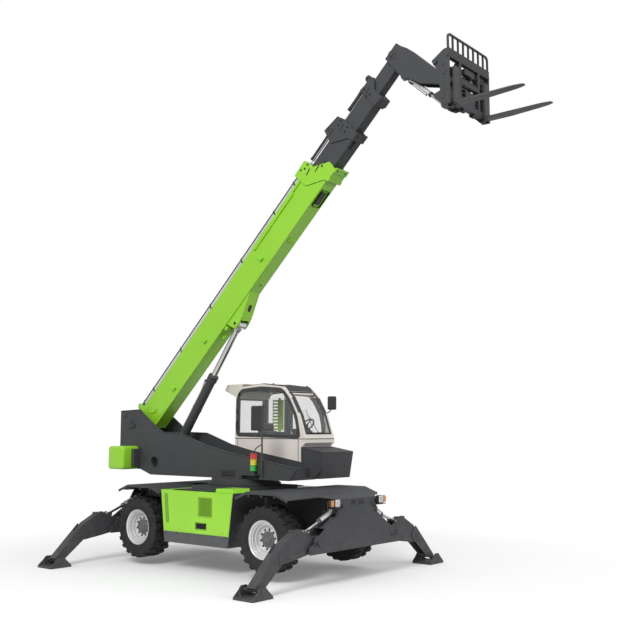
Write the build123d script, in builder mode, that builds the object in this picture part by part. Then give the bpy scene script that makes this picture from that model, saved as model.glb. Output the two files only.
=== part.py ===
from build123d import *
import os
from math import atan2, cos, degrees, hypot, radians, sin

os.makedirs("parts", exist_ok=True)

# Rotating telehandler on four stabilisers. Millimetres.
# +X is the front of the chassis, +Y its left side, +Z up.
# The origin is on the ground, under the slewing axis.

# ---------------------------------------------------------------- driving dimensions
fit = 0.3  # gap between a pin and its bore, and between a pane and its frame
air = 5  # least gap between pieces that pass each other

# wheels and axles
wheelbase = 3284
overall_width = 2550
hub_height = 700
tyre_radius = 575
tyre_width = 445
rim_width = 390
rim_seat_radius = 286
rim_flange_radius = 319
kingpin_y = 820
kingpin_radius = 32
axle_radius = 95
spindle_radius = 60

# chassis
frame_half_width = 430
frame_end_x = 2417
frame_top = 1378
frame_belly = 560
axle_arch = 940
deck_top = 1446
hood_half_top = 950
hood_half_bottom = 830
hood_bottom = 495
hood_top = 1445
hood_wall = 15
frame_wall = 40
mudguard_top = 1495
mudguard_low = 1390
mudguard_gauge = 12

# stabilisers, in the plane across the chassis
stabiliser_x = 2562
box_gap = 240  # between the two plates of a stabiliser box
box_plate = 25
arm_pivot = (1030, 730)  # y, z
knee = (1930, 555)
ankle = (2450, 130)
arm_width = 150
leg_width = 184
leg_plate = 12
pad_length = 420
pad_width = 450
pad_plate = 38
ram_top = (540, 1175)  # upper pin of the arm's cylinder
ram_eye = (1250, 900)  # its rod's eye on the arm
ram_radius = 42
ram_rod_radius = 25

# turret
plate_inner_y = 340
plate_gauge = 30
turret_floor = 1640
slew_radius = 640

# boom: u runs along it from its pivot, v is square to it
boom_pivot = (-2976, 2733)  # x, z
boom_angle = 44
pivot_pin_radius = 60
lift_eye = (3333, -575)  # u, v of the lift cylinder's rod eye
lift_foot = (-2160, 1875)  # x, z of its lower pin
lift_barrel_radius = 120
lift_rod_radius = 75
lift_pin_radius = 45
barrel_reach = 2175  # from the lower pin to the barrel's mouth
rod_depth = 1040  # from the lower pin to the rod's piston end
clevis_half = 100  # half width of both eyes

# head and carriage
tilt_pin = (4660, 8380)  # x, z
tilt_anchor = (3908, 8654)
tilt_eye = (4626, 7986)
tilt_barrel_radius = 55
tilt_rod_radius = 32
head_half_width = 120
head_plate = 24
carriage_half_width = 660
fork_y = 490
fork_width = 150
fork_top = 7810
fork_thickness = 50
fork_length = 1200
fork_face_x = 5110

# cab
cab_right = 400
cab_left = 1280
cab_wall = 50
glass = 6
door_hinge = (-40, 1305)  # x, y
hinge_z = (1950, 3150)
seat_rear = -110
steering_hub = (830, 900)  # x, and height over the cab's floor


# ---------------------------------------------------------------- helpers
def side_plane(y):
    """Outlines in (x, z); they grow towards -Y."""
    return Plane.XZ.offset(-y)


def front_plane(x):
    """Outlines in (y, z); they grow towards +X."""
    return Plane.YZ.offset(x)


def boom_plane(y):
    """Outlines in (u, v) along the boom; they grow towards -Y."""
    along = (cos(radians(boom_angle)), 0, sin(radians(boom_angle)))
    return Plane(origin=(boom_pivot[0], y, boom_pivot[1]), x_dir=along, z_dir=(0, -1, 0))


def boom_section(u):
    """Outlines in (y, v) across the boom; they grow towards its head."""
    along = (cos(radians(boom_angle)), 0, sin(radians(boom_angle)))
    return Plane(origin=boom_point(u, 0), x_dir=(0, 1, 0), z_dir=along)


def boom_point(u, v, y=0):
    c, s = cos(radians(boom_angle)), sin(radians(boom_angle))
    return (boom_pivot[0] + u * c - v * s, y, boom_pivot[1] + u * s + v * c)


def slab(plane, depth, points, mode=Mode.ADD, inset=0):
    """A plate with a straight-edged outline."""
    with BuildSketch(plane) as outline:
        with BuildLine():
            Polyline(points, close=True)
        make_face()
        if inset:
            offset(amount=-inset, kind=Kind.INTERSECTION)
    extrude(outline.sketch, amount=depth, mode=mode)


def block(x, y, z, mode=Mode.ADD):
    """A box between pairs of low and high limits."""
    with Locations(((x[0] + x[1]) / 2, (y[0] + y[1]) / 2, (z[0] + z[1]) / 2)):
        Box(abs(x[1] - x[0]), abs(y[1] - y[0]), abs(z[1] - z[0]), mode=mode)


def rod(start, end, radius, mode=Mode.ADD):
    """A round bar or, subtracted, a bore."""
    axis = Vector(*end) - Vector(*start)
    with Locations(Plane(origin=start, z_dir=axis)):
        Cylinder(radius, axis.length, align=(Align.CENTER, Align.CENTER, Align.MIN), mode=mode)


def between(start, end, distance):
    """The point at a distance from start on the way to end."""
    a, b = Vector(*start), Vector(*end)
    return tuple(a + (b - a).normalized() * distance)


def save(piece, name):
    piece.part.label = name
    export_step(piece.part, f"parts/{name}.step")


ends = (("front", 1), ("rear", -1))
sides = (("left", 1), ("right", -1))
corners = [(f"{end}_{side}", ex, sy) for end, ex in ends for side, sy in sides]

# ---------------------------------------------------------------- chassis
wheel_x = wheelbase / 2
ring_top = deck_top + 115
frame_outline = [
    (frame_end_x, frame_belly), (2190, frame_belly), (2080, axle_arch), (1230, axle_arch),
    (1130, frame_belly), (-1130, frame_belly), (-1230, axle_arch), (-2080, axle_arch),
    (-2190, frame_belly), (-frame_end_x, frame_belly), (-frame_end_x, frame_top),
    (-990, frame_top), (-990, deck_top), (990, deck_top), (990, frame_top),
    (frame_end_x, frame_top),
]
with BuildPart() as chassis_frame:
    slab(side_plane(frame_half_width), 2 * frame_half_width, frame_outline)
    slab(side_plane(frame_half_width - frame_wall), 2 * (frame_half_width - frame_wall),
         frame_outline, Mode.SUBTRACT, frame_wall)
    block((-720, 720), (-720, 720), (deck_top, deck_top + 60))
    rod((0, 0, deck_top + 60), (0, 0, ring_top), slew_radius + 40)
save(chassis_frame, "chassis_frame")

with BuildPart() as engine_block:
    block((-550, 550), (-1080, -frame_half_width - fit), (hood_bottom + hood_wall + fit, 1150))
save(engine_block, "engine_block")

hood_outline = [
    (-hood_half_bottom, hood_bottom), (hood_half_bottom, hood_bottom),
    (hood_half_top, hood_top), (-hood_half_top, hood_top),
]
for name, sy in (("tank_cover", 1), ("engine_hood", -1)):
    outer_y = overall_width / 2 + 5
    with BuildPart() as cover:
        slab(side_plane(max(sy * outer_y, sy * (frame_half_width + fit))),
             outer_y - frame_half_width - fit, hood_outline)
        slab(side_plane(max(sy * (outer_y - hood_wall), sy * frame_half_width)),
             outer_y - hood_wall - frame_half_width, hood_outline, Mode.SUBTRACT, hood_wall)
    save(cover, name)

# Each end's mudguards and deck are one bent sheet across the chassis.
mudguard_line = [
    (1000, mudguard_low), (1270, mudguard_top), (1930, mudguard_top), (2210, mudguard_low),
    (2516, 1440), (2700, 1384),
]
deck_corner = [(2210, 1290), (2516, 850), (2701, 500), (2701, 1290)]
with BuildPart() as mudguards:
    lower_line = [(x, z - mudguard_gauge) for x, z in mudguard_line]
    slab(side_plane(overall_width / 2 + 5), overall_width + 10, mudguard_line + lower_line[::-1])
    for _, sy in sides:
        cut = [(x, sy * y) for x, y in deck_corner]
        slab(Plane.XY.offset(1300), 300, cut, Mode.SUBTRACT)
    mirror(about=Plane.YZ)
save(mudguards, "mudguards")

# ---------------------------------------------------------------- stabiliser boxes
box_outline = [
    (1270, 535), (1280, 650), (1170, 700), (1115, 815), (1010, 840), (600, 1100),
    (560, 1235), (470, frame_top - 12),
]
box_outline = [(-y, z) for y, z in box_outline] + box_outline[::-1]
inner_face = stabiliser_x - box_gap / 2
outer_face = stabiliser_x + box_gap / 2
for name, ex in ends:
    with BuildPart() as stabiliser_box:
        slab(front_plane(inner_face - box_plate), box_plate, box_outline)
        slab(front_plane(outer_face), box_plate, box_outline)
        block((inner_face, outer_face), (-800, 800), (545, 557))
        for _, sy in sides:
            block((inner_face, outer_face), (sy * 460, sy * 472), (557, 1250))
            slope = [(600, 1088), (600, 1100), (860, 935), (860, 923)]
            slab(front_plane(inner_face), box_gap, [(sy * y, z) for y, z in slope])
            arm_y, arm_z = sy * arm_pivot[0], arm_pivot[1]
            ram_y, ram_z = sy * ram_top[0], ram_top[1]
            rod((inner_face, arm_y, arm_z), (outer_face, arm_y, arm_z), 30)
            rod((inner_face, ram_y, ram_z), (outer_face, ram_y, ram_z), 20)
        if ex < 0:
            mirror(about=Plane.YZ, mode=Mode.REPLACE)
    save(stabiliser_box, f"{name}_stabiliser_box")

# ---------------------------------------------------------------- stabilisers
arm_outline = [
    (1030, 830), (1149, 822), (1323, 905), (1420, 945), (1490, 950), (1560, 922), (1850, 770),
    (1985, 640), (2015, 560), (1960, 478), (1840, 455), (1465, 505), (1130, 560), (1030, 630),
]
arm_slot = [(1100, 800), (1300, 800), (1370, 860), (1370, 960), (1000, 960), (1000, 800)]
leg_angle = degrees(atan2(ankle[1] - knee[1], ankle[0] - knee[0]))
leg_length = hypot(ankle[0] - knee[0], ankle[1] - knee[1])
leg_outline = [(-150, 140), (leg_length + 20, 66), (leg_length + 20, -45), (leg_length - 125, -90),
               (46, -104), (-110, -104), (-150, -60)]
web_outline = [(25, 112), (25, 124), (leg_length + 20, 66), (leg_length + 20, 54)]
toe_outline = [(leg_length - 200, -92), (leg_length - 200, -80), (leg_length - 125, -78),
               (leg_length - 125, -90)]
ram_length = hypot(ram_eye[0] - ram_top[0], ram_eye[1] - ram_top[1])
ram_barrel_length = 396
ram_rod_start = 335


def cross_plane(x, origin, angle=0, side=1):
    """Outlines in the plane across the chassis, turned by angle at origin, growing to +X."""
    direction = (0, side * cos(radians(angle)), sin(radians(angle)))
    return Plane(origin=(x, side * origin[0], origin[1]), x_dir=direction, z_dir=(side, 0, 0))


def first_face(x, width, side):
    """The x where a slab of that width about x starts, on the side that it grows from."""
    return x - side * width / 2


for name, ex, sy in corners:
    x = ex * stabiliser_x
    at_arm = (sy * arm_pivot[0], arm_pivot[1])
    at_knee = (sy * knee[0], knee[1])
    at_ankle = (sy * ankle[0], ankle[1])
    at_eye = (sy * ram_eye[0], ram_eye[1])
    at_top = (sy * ram_top[0], ram_top[1])

    with BuildPart() as stabiliser_arm:
        slab(front_plane(x - arm_width / 2), arm_width, [(sy * y, z) for y, z in arm_outline])
        rod((x - arm_width / 2, *at_arm), (x + arm_width / 2, *at_arm), 100)
        rod((x - arm_width / 2, *at_knee), (x + arm_width / 2, *at_knee), 85)
        slab(front_plane(x - 45), 90, [(sy * y, z) for y, z in arm_slot], Mode.SUBTRACT)
        rod((x - 45, *at_eye), (x + 45, *at_eye), 95, Mode.SUBTRACT)
        rod((x - box_gap / 2 + air, *at_arm), (x + box_gap / 2 - air, *at_arm), 60)
        rod((x - box_gap / 2, *at_arm), (x + box_gap / 2, *at_arm), 30 + fit, Mode.SUBTRACT)
        rod((x - leg_width / 2 - 14, *at_knee), (x + leg_width / 2 + 14, *at_knee), 35)
    save(stabiliser_arm, f"{name}_stabiliser_arm")

    with BuildPart() as stabiliser_leg:
        leg_frame = cross_plane(first_face(x, leg_width, sy), knee, leg_angle, sy)
        slab(leg_frame, leg_width, leg_outline)
        hollow = cross_plane(first_face(x, leg_width - 2 * leg_plate, sy), knee, leg_angle, sy)
        inside = leg_width - 2 * leg_plate
        slab(hollow, inside, [(-250, -200), (-250, 200), (1200, 200), (1200, -200)], Mode.SUBTRACT)
        slab(hollow, inside, web_outline)
        slab(hollow, inside, toe_outline)
        rod((x - leg_width / 2, *at_knee), (x + leg_width / 2, *at_knee), 35 + fit, Mode.SUBTRACT)
        rod((x - leg_width / 2, *at_ankle), (x + leg_width / 2, *at_ankle), 25 + fit, Mode.SUBTRACT)
    save(stabiliser_leg, f"{name}_stabiliser_leg")

    with BuildPart() as stabiliser_pad:
        y = at_ankle[0]
        half = pad_width / 2
        block((x - pad_length / 2, x + pad_length / 2), (y - half, y + half), (0, pad_plate))
        lug = [(y - half, pad_plate), (y + half, pad_plate), (y + 118, 130), (y + 58, 196),
               (y - 58, 196), (y - 118, 130)]
        for lug_x in (x - pad_length / 2, x + pad_length / 2 - 22):
            slab(front_plane(lug_x), 22, lug)
        rod((x - pad_length / 2, *at_ankle), (x + pad_length / 2, *at_ankle), 25)
    save(stabiliser_pad, f"{name}_stabiliser_pad")

    top, eye = (x, *at_top), (x, *at_eye)
    with BuildPart() as ram_barrel:
        rod(between(top, eye, 30), between(top, eye, ram_barrel_length), ram_radius)
        rod((x - 30, *at_top), (x + 30, *at_top), 40)
        rod(between(top, eye, 24.0), between(top, eye, ram_barrel_length - 40),
            ram_rod_radius + 3, Mode.SUBTRACT)
        rod(between(top, eye, 100), between(top, eye, ram_barrel_length), ram_rod_radius + fit,
            Mode.SUBTRACT)
        rod((x - 30, *at_top), (x + 30, *at_top), 20 + fit, Mode.SUBTRACT)
    save(ram_barrel, f"{name}_ram_barrel")

    with BuildPart() as ram_rod:
        rod(between(top, eye, ram_rod_start), eye, ram_rod_radius)
        rod((x - 30, *at_eye), (x + 30, *at_eye), 38)
    save(ram_rod, f"{name}_ram_rod")

# ---------------------------------------------------------------- axles, knuckles and wheels
wheel_y = overall_width / 2 - tyre_width / 2
for name, ex in ends:
    x = ex * wheel_x
    with BuildPart() as axle:
        rod((x, -kingpin_y, hub_height), (x, kingpin_y, hub_height), axle_radius)
        with Locations((x, 0, hub_height)):
            Sphere(205)
        block((x - 170, x + 170), (-300, 300), (hub_height + 60, axle_arch))
        for _, sy in sides:
            y = sy * kingpin_y
            rod((x, y, hub_height - 140), (x, y, hub_height + 140), 120, Mode.SUBTRACT)
            block((x - 200, x + 200), (y, y + sy * 200), (hub_height - 140, hub_height + 140),
                  Mode.SUBTRACT)
            rod((x, y, hub_height - 110), (x, y, hub_height + 110), 85)
            block((x - 60, x + 60), (y - sy * 140, y - sy * 50), (hub_height - 60, hub_height + 60))
            rod((x, y, hub_height - 200), (x, y, hub_height + 200), kingpin_radius)
    save(axle, f"{name}_axle")

for name, ex, sy in corners:
    x, z = ex * wheel_x, hub_height
    king, hub = sy * kingpin_y, sy * wheel_y
    with BuildPart() as knuckle:
        for top in (1, -1):
            block((x - 80, x + 80), (king - sy * 50, king + sy * 140), (z + top * 115, z + top * 195))
            rod((x, king, z + min(top * 115, top * 195)), (x, king, z + max(top * 115, top * 195)), 75)
        block((x - 80, x + 80), (king + sy * 95, king + sy * 140), (z - 195, z + 195))
        rod((x, king + sy * 140, z), (x, hub + sy * 65, z), spindle_radius)
        rod((x, king, z - 200), (x, king, z + 200), kingpin_radius + fit, Mode.SUBTRACT)
    save(knuckle, f"{name}_knuckle")

    def along_axle(low, high, radius, mode=Mode.ADD):
        """A disc or bore about the wheel's own axis, between offsets from its middle."""
        rod((x, hub + sy * low, z), (x, hub + sy * high, z), radius, mode)

    half = rim_width / 2
    with BuildPart() as rim:
        along_axle(-half, half, rim_seat_radius)
        along_axle(-half, -half + 12, rim_flange_radius)
        along_axle(half - 12, half, rim_flange_radius)
        along_axle(-half, 38, rim_seat_radius - 24, Mode.SUBTRACT)
        along_axle(56, half, rim_seat_radius - 24, Mode.SUBTRACT)
        along_axle(-62, 60, 130)
        along_axle(60, 100, 95)
        along_axle(-62, 75, spindle_radius + fit, Mode.SUBTRACT)
    save(rim, f"{name}_rim")

    with BuildPart() as tyre:
        with BuildSketch(Plane(origin=(x, hub, z), x_dir=(0, sy, 0), z_dir=(1, 0, 0))):
            bead = half - 12 - fit
            crown = tyre_width / 2
            with BuildLine():
                Polyline([(-bead, rim_flange_radius), (-bead, rim_seat_radius + fit),
                          (bead, rim_seat_radius + fit), (bead, rim_flange_radius)])
                ThreePointArc((bead, rim_flange_radius), (crown, 430), (crown - 12, 540))
                Polyline([(crown - 12, 540), (crown - 40, tyre_radius),
                          (-crown + 40, tyre_radius), (-crown + 12, 540)])
                ThreePointArc((-crown + 12, 540), (-crown, 430), (-bead, rim_flange_radius))
            make_face()
        revolve(axis=Axis((x, hub, z), (0, 1, 0)))
    save(tyre, f"{name}_tyre")

# ---------------------------------------------------------------- turret
plate_outer_y = plate_inner_y + plate_gauge
turret_outline = [
    (-3350, 1760), (-3342, 2955), (-2723, 2977), (-2590, 2873), (-2121, 2571), (-1980, 2504),
    (-1465, 2491), (-736, 2260), (-180, 2143), (1641, 1862), (1500, 1690), (1450, turret_floor),
    (-2340, turret_floor), (-2662, 1744),
]
clevis_outline = [(-2330, turret_floor), (-2250, 1980), (-2070, 1980), (-1960, turret_floor)]
pivot_x, pivot_z = boom_pivot
with BuildPart() as turret_frame:
    for _, sy in sides:
        slab(side_plane(max(sy * plate_inner_y, sy * plate_outer_y)), plate_gauge, turret_outline)
        clevis_y = lift_barrel_radius + 8
        slab(side_plane(max(sy * clevis_y, sy * (clevis_y + 30))), 30, clevis_outline)
        rod((pivot_x, sy * 175, pivot_z), (pivot_x, sy * plate_inner_y, pivot_z), 100)
        # access holes to the lift cylinder's foot and to the slew ring
        low, high = sy * (plate_inner_y - 1), sy * (plate_outer_y + 1)
        rod((-2224, low, 1908), (-2224, high, 1908), 105, Mode.SUBTRACT)
        for x in (-245, 65):
            rod((x, low, 1700), (x, high, 1700), 32, Mode.SUBTRACT)
        block((-245, 65), (min(low, high), max(low, high)), (1668, 1732), Mode.SUBTRACT)
    rod((pivot_x, -plate_outer_y - 20, pivot_z), (pivot_x, plate_outer_y + 20, pivot_z),
        pivot_pin_radius)
    block((-3350, -3320), (-plate_outer_y, plate_outer_y), (1790, 2940))
    block((-2400, 1450), (-plate_inner_y, plate_inner_y), (turret_floor, turret_floor + 25))
    # room for the lift cylinder's foot as the boom goes down
    block((-2400, -1800), (-lift_barrel_radius - 7, lift_barrel_radius + 7),
          (turret_floor, turret_floor + 25), Mode.SUBTRACT)
    block((1300, 1330), (-plate_inner_y, plate_inner_y), (turret_floor + 25, 1860))
    block((-700, 1100), (plate_outer_y, cab_left), (turret_floor, turret_floor + 40))
    rod((0, 0, ring_top + fit), (0, 0, turret_floor), slew_radius)
save(turret_frame, "turret_frame")

with BuildPart() as counterweight:
    for _, sy in sides:
        lobe = [(-3250, 1790), (-3250, 2180), (-3210, 2220), (-2790, 2220), (-2750, 2180),
                (-2750, 1790), (-2800, 1740), (-3200, 1740)]
        slab(side_plane(max(sy * (plate_outer_y + fit), sy * 770)), 770 - plate_outer_y - fit, lobe)
save(counterweight, "counterweight")

front_box_outline = [(1101, 1645), (1560, 1650), (1650, 2145), (1101, 2235)]
with BuildPart() as front_housing:
    slab(side_plane(cab_left), cab_left - plate_outer_y - fit, front_box_outline)
    slab(side_plane(cab_left - 20), cab_left - plate_outer_y - 40, front_box_outline,
         Mode.SUBTRACT, 20)
save(front_housing, "front_housing")

# ---------------------------------------------------------------- cab
cab_floor = turret_floor + 40 + fit
cab_outline = [
    (-670, cab_floor), (1060, cab_floor), (1100, 1860), (1100, 2240), (1185, 2310), (1180, 2400),
    (1025, 2836), (820, 3182), (612, 3390), (55, 3456), (-552, 3415), (-662, 3216), (-675, 2411),
]
side_window = [(-585, 2480), (1045, 2440), (960, 2810), (760, 3150), (590, 3330), (60, 3385),
               (-510, 3345), (-585, 3190)]
door_rear = door_hinge[0] + 30
door_outline = [(door_rear, 1790), (780, 1790), (960, 1960), (960, 2640), (900, 2870), (720, 3160),
                (560, 3300), (60, 3350), (door_rear, 3346)]
door_window = [(door_rear + 80, 2480), (890, 2480), (880, 2640), (830, 2840), (660, 3110),
               (530, 3235), (door_rear + 80, 3279)]
quarter_front = door_rear - 80
left_quarter = [(-590, 2480), (quarter_front, 2480), (quarter_front, 3338), (-510, 3310), (-590, 3190)]
middle = (cab_right + cab_left) / 2
pane_y = cab_left - cab_wall / 2
rear_window_z = (2500, 3150)
screen_edge = 90  # from the cab's sides to the windscreen and the rear window
screen_hole = [(1300, 2470), (900, 2470), (560, 3140), (850, 3300)]
roof_line = [(500, 3403), (55, 3456), (0, 3452)]
with BuildPart() as cab_frame:
    slab(side_plane(cab_left), cab_left - cab_right, cab_outline)
    slab(side_plane(cab_left - cab_wall), cab_left - cab_right - 2 * cab_wall, cab_outline,
         Mode.SUBTRACT, cab_wall)
    slab(side_plane(cab_right + cab_wall), cab_wall, side_window, Mode.SUBTRACT)
    slab(side_plane(cab_left), cab_wall, door_outline, Mode.SUBTRACT)
    slab(side_plane(cab_left), cab_wall, left_quarter, Mode.SUBTRACT)
    screen_y = (cab_right + screen_edge, cab_left - screen_edge)
    block((-760, -560), screen_y, rear_window_z, Mode.SUBTRACT)
    slab(side_plane(screen_y[1]), screen_y[1] - screen_y[0], screen_hole, Mode.SUBTRACT)
    block((0, 500), (cab_right + 130, cab_left - 130), (3200, 3600), Mode.SUBTRACT)
    for z in hinge_z:
        for low in (z - 75, z + 60 + fit):
            block((door_hinge[0] - 22, door_hinge[0] + 22), (cab_left, door_hinge[1] + 20),
                  (low, low + 15 - fit))
save(cab_frame, "cab_frame")

with BuildPart() as cab_glass:
    # the windscreen follows the bent front of the cab
    screen_depth = screen_y[1] - screen_y[0] - 2 * fit
    slab(side_plane(screen_y[1] - fit), screen_depth, cab_outline, inset=20)
    slab(side_plane(screen_y[1] - fit), screen_depth, cab_outline, Mode.SUBTRACT, 20 + glass)
    slab(side_plane(screen_y[1] - fit), screen_depth, screen_hole, Mode.INTERSECT, fit)
    roof_pane = [(x, z - 20) for x, z in roof_line] + [(x, z - 20 - glass) for x, z in roof_line[::-1]]
    slab(side_plane(cab_left - 130 - fit), cab_left - cab_right - 260 - 2 * fit, roof_pane)
    inner_y = cab_right + cab_wall / 2
    slab(side_plane(inner_y + glass / 2), glass, side_window, inset=fit)
    slab(side_plane(pane_y + glass / 2), glass, left_quarter, inset=fit)
    block((-645, -645 + glass), (screen_y[0] + fit, screen_y[1] - fit),
          (rear_window_z[0] + fit, rear_window_z[1] - fit))
save(cab_glass, "cab_glass")

with BuildPart() as cab_door:
    slab(side_plane(cab_left), 40, door_outline, inset=air)
    slab(side_plane(cab_left), 40, door_window, Mode.SUBTRACT)
    for z in hinge_z:
        rod((*door_hinge, z - 60), (*door_hinge, z + 60), 18)
        leaf = (door_hinge[0], door_hinge[0] + 110)
        block(leaf, (cab_left + 6, cab_left + 22), (z - 50, z + 50))
        block((leaf[0] + 45, leaf[1]), (cab_left - 5, cab_left + 6), (z - 50, z + 50))
save(cab_door, "cab_door")

with BuildPart() as door_glass:
    slab(side_plane(cab_left - 20 + glass / 2), glass, door_window, inset=fit)
save(door_glass, "door_glass")

with BuildPart() as seat:
    floor = cab_floor + cab_wall + fit
    block((seat_rear + 30, seat_rear + 490), (middle - 230, middle + 230), (floor, floor + 330))
    block((seat_rear, seat_rear + 530), (middle - 250, middle + 250), (floor + 330, floor + 460))
    back = [(seat_rear, floor + 460), (seat_rear - 110, floor + 960), (seat_rear - 20, floor + 980),
            (seat_rear + 120, floor + 460)]
    slab(side_plane(middle + 240), 480, back)
save(seat, "seat")

with BuildPart() as steering_console:
    floor = cab_floor + cab_wall + fit
    hub_x, hub_rise = steering_hub
    column_top = hub_rise - 140
    slab(side_plane(middle + 90), 180,
         [(hub_x - 30, floor), (hub_x + 170, floor), (hub_x + 130, floor + column_top),
          (hub_x + 30, floor + column_top)])
    hub_point = (hub_x, middle, floor + hub_rise)
    rod((hub_x + 100, middle, floor + column_top - 20), hub_point, 25)
    with Locations(Plane(origin=hub_point, z_dir=(-0.7, 0, 0.71))):
        Torus(180, 14)
        with PolarLocations(90, 3):
            Box(180, 24, 12)
save(steering_console, "steering_console")

# ---------------------------------------------------------------- boom
# Sections, outermost first: half width, lowest and highest v, wall, u of rear and front end.
sections = [
    ("boom_base", 160, -420, 130, 12, 230, 6710),
    ("boom_second", 135, -350, 90, 10, 450, 7740),
    ("boom_third", 110, -280, 75, 10, 900, 8520),
    ("boom_fly", 87, -210, 60, 9, 1400, 9130),
]
# The collar at each section's front end, in (u, v), and how far it stands out sideways.
collars = {
    "boom_base": [(6330, 270), (6680, 280), (6710, 30), (7020, -240), (6990, -460), (6740, -460),
                  (6700, -370), (6360, -90)],
    "boom_second": [(7350, 310), (7720, 240), (7770, 60), (7755, -373), (7600, -373), (7560, -250),
                    (7270, 10)],
    "boom_third": [(8330, 170), (8480, 140), (8620, 150), (8650, 30), (8530, -100), (8520, -340),
                   (8320, -315)],
}
pad_gap = 0.5
eye_u, eye_v = lift_eye
head_outline = [
    (3459, 9092), (3698, 9322), (3803, 9238), (3928, 9166), (4549, 8587), (4740, 8440),
    (4740, 8320), (4650, 8290), (4525, 8364), (4186, 8458), (4030, 8560), (3960, 8590),
    (3850, 8590), (3800, 8650), (3775, 8715),
]
for row, (name, half, low, high, wall, rear, front) in enumerate(sections):
    inner = sections[row + 1] if row + 1 < len(sections) else None
    outer = sections[row - 1] if row else None
    with BuildPart() as boom_section_piece:
        with BuildSketch(boom_section(rear)) as tube:
            with Locations((0, (low + high) / 2)):
                Rectangle(2 * half, high - low)
        extrude(tube.sketch, amount=front - rear)
        if name in collars:
            slab(boom_plane(half + 20), 2 * half + 40, collars[name])
        if name == "boom_base":
            slab(boom_plane(half), 2 * half,
                 [(0, 110), (260, 130), (600, 130), (600, -420), (234, -334), (0, -110)])
            rod((pivot_x, -165, pivot_z), (pivot_x, 165, pivot_z), 110)
            for _, sy in sides:
                lug_y = clevis_half + 10
                lug = [(3170, low), (eye_u - 105, eye_v), (eye_u - 60, eye_v - 85),
                       (eye_u + 60, eye_v - 85), (3560, -620), (4050, low)]
                slab(boom_plane(max(sy * lug_y, sy * (lug_y + 30))), 30, lug)
            rod(boom_point(eye_u, eye_v, -150), boom_point(eye_u, eye_v, 150), lift_pin_radius)
        with BuildSketch(boom_section(rear + (20 if row == 0 else -1))) as bore:
            with Locations((0, (low + high) / 2)):
                Rectangle(2 * (half - wall), high - low - 2 * wall)
        extrude(bore.sketch, amount=front - rear + 400, mode=Mode.SUBTRACT)
        if name == "boom_base":
            rod((pivot_x, -200, pivot_z), (pivot_x, 200, pivot_z), pivot_pin_radius + fit,
                Mode.SUBTRACT)
        if inner:
            # wear pads in the mouth, which guide the next section
            _, in_half, in_low, in_high, _, _, _ = inner
            with BuildSketch(boom_section(front - 150)) as mouth:
                with Locations((0, (low + high) / 2)):
                    Rectangle(2 * (half - wall), high - low - 2 * wall)
                with Locations((0, (in_low + in_high) / 2)):
                    Rectangle(2 * (in_half + pad_gap), in_high - in_low + 2 * pad_gap,
                              mode=Mode.SUBTRACT)
            extrude(mouth.sketch, amount=150)
        if outer:
            # wear pads at the rear, which run in the section outside
            _, out_half, out_low, out_high, out_wall, _, _ = outer
            out_y = out_half - out_wall - pad_gap
            with BuildSketch(boom_section(rear)) as tail:
                with Locations((0, (out_low + out_high) / 2)):
                    Rectangle(2 * out_y, out_high - out_low - 2 * out_wall - 2 * pad_gap)
                with Locations((0, (low + high) / 2)):
                    Rectangle(2 * (half - wall), high - low - 2 * wall, mode=Mode.SUBTRACT)
            extrude(tail.sketch, amount=150)
        if name == "boom_fly":
            slab(side_plane(head_half_width), 2 * head_half_width, head_outline)
            inside_half = head_half_width - head_plate
            head_cavity = [(3740, 8900), (3810, 9120), (4500, 8520), (4560, 8200), (4100, 8300),
                           (3770, 8640)]
            slab(side_plane(inside_half), 2 * inside_half, head_cavity, Mode.SUBTRACT)
            slab(side_plane(inside_half), 2 * inside_half,
                 [(4500, 8520), (4800, 8500), (4800, 8200), (4450, 8200)], Mode.SUBTRACT)
            rod((tilt_pin[0], -head_half_width, tilt_pin[1]),
                (tilt_pin[0], head_half_width, tilt_pin[1]), 75)
            rod((tilt_pin[0], -head_half_width, tilt_pin[1]),
                (tilt_pin[0], head_half_width, tilt_pin[1]), 40 + fit, Mode.SUBTRACT)
            rod((tilt_anchor[0], -head_half_width, tilt_anchor[1]),
                (tilt_anchor[0], head_half_width, tilt_anchor[1]), 25)
    save(boom_section_piece, name)

# ---------------------------------------------------------------- lift cylinder
eye_point = boom_point(*lift_eye)
foot_point = (lift_foot[0], 0, lift_foot[1])
with BuildPart() as lift_barrel:
    rod(foot_point, between(foot_point, eye_point, barrel_reach), lift_barrel_radius)
    rod(between(foot_point, eye_point, barrel_reach - 130),
        between(foot_point, eye_point, barrel_reach), lift_barrel_radius + 20)
    rod((foot_point[0], -clevis_half, foot_point[2]), (foot_point[0], clevis_half, foot_point[2]),
        115)
    rod(between(foot_point, eye_point, 135), between(foot_point, eye_point, barrel_reach - 80),
        lift_rod_radius + 3, Mode.SUBTRACT)
    rod(between(foot_point, eye_point, 1000), between(foot_point, eye_point, barrel_reach),
        lift_rod_radius + fit, Mode.SUBTRACT)
save(lift_barrel, "lift_barrel")

with BuildPart() as lift_rod:
    rod(between(foot_point, eye_point, rod_depth), eye_point, lift_rod_radius)
    rod((eye_point[0], -clevis_half, eye_point[2]), (eye_point[0], clevis_half, eye_point[2]), 105)
    rod((eye_point[0], -clevis_half, eye_point[2]), (eye_point[0], clevis_half, eye_point[2]),
        lift_pin_radius + fit, Mode.SUBTRACT)
save(lift_rod, "lift_rod")

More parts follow.
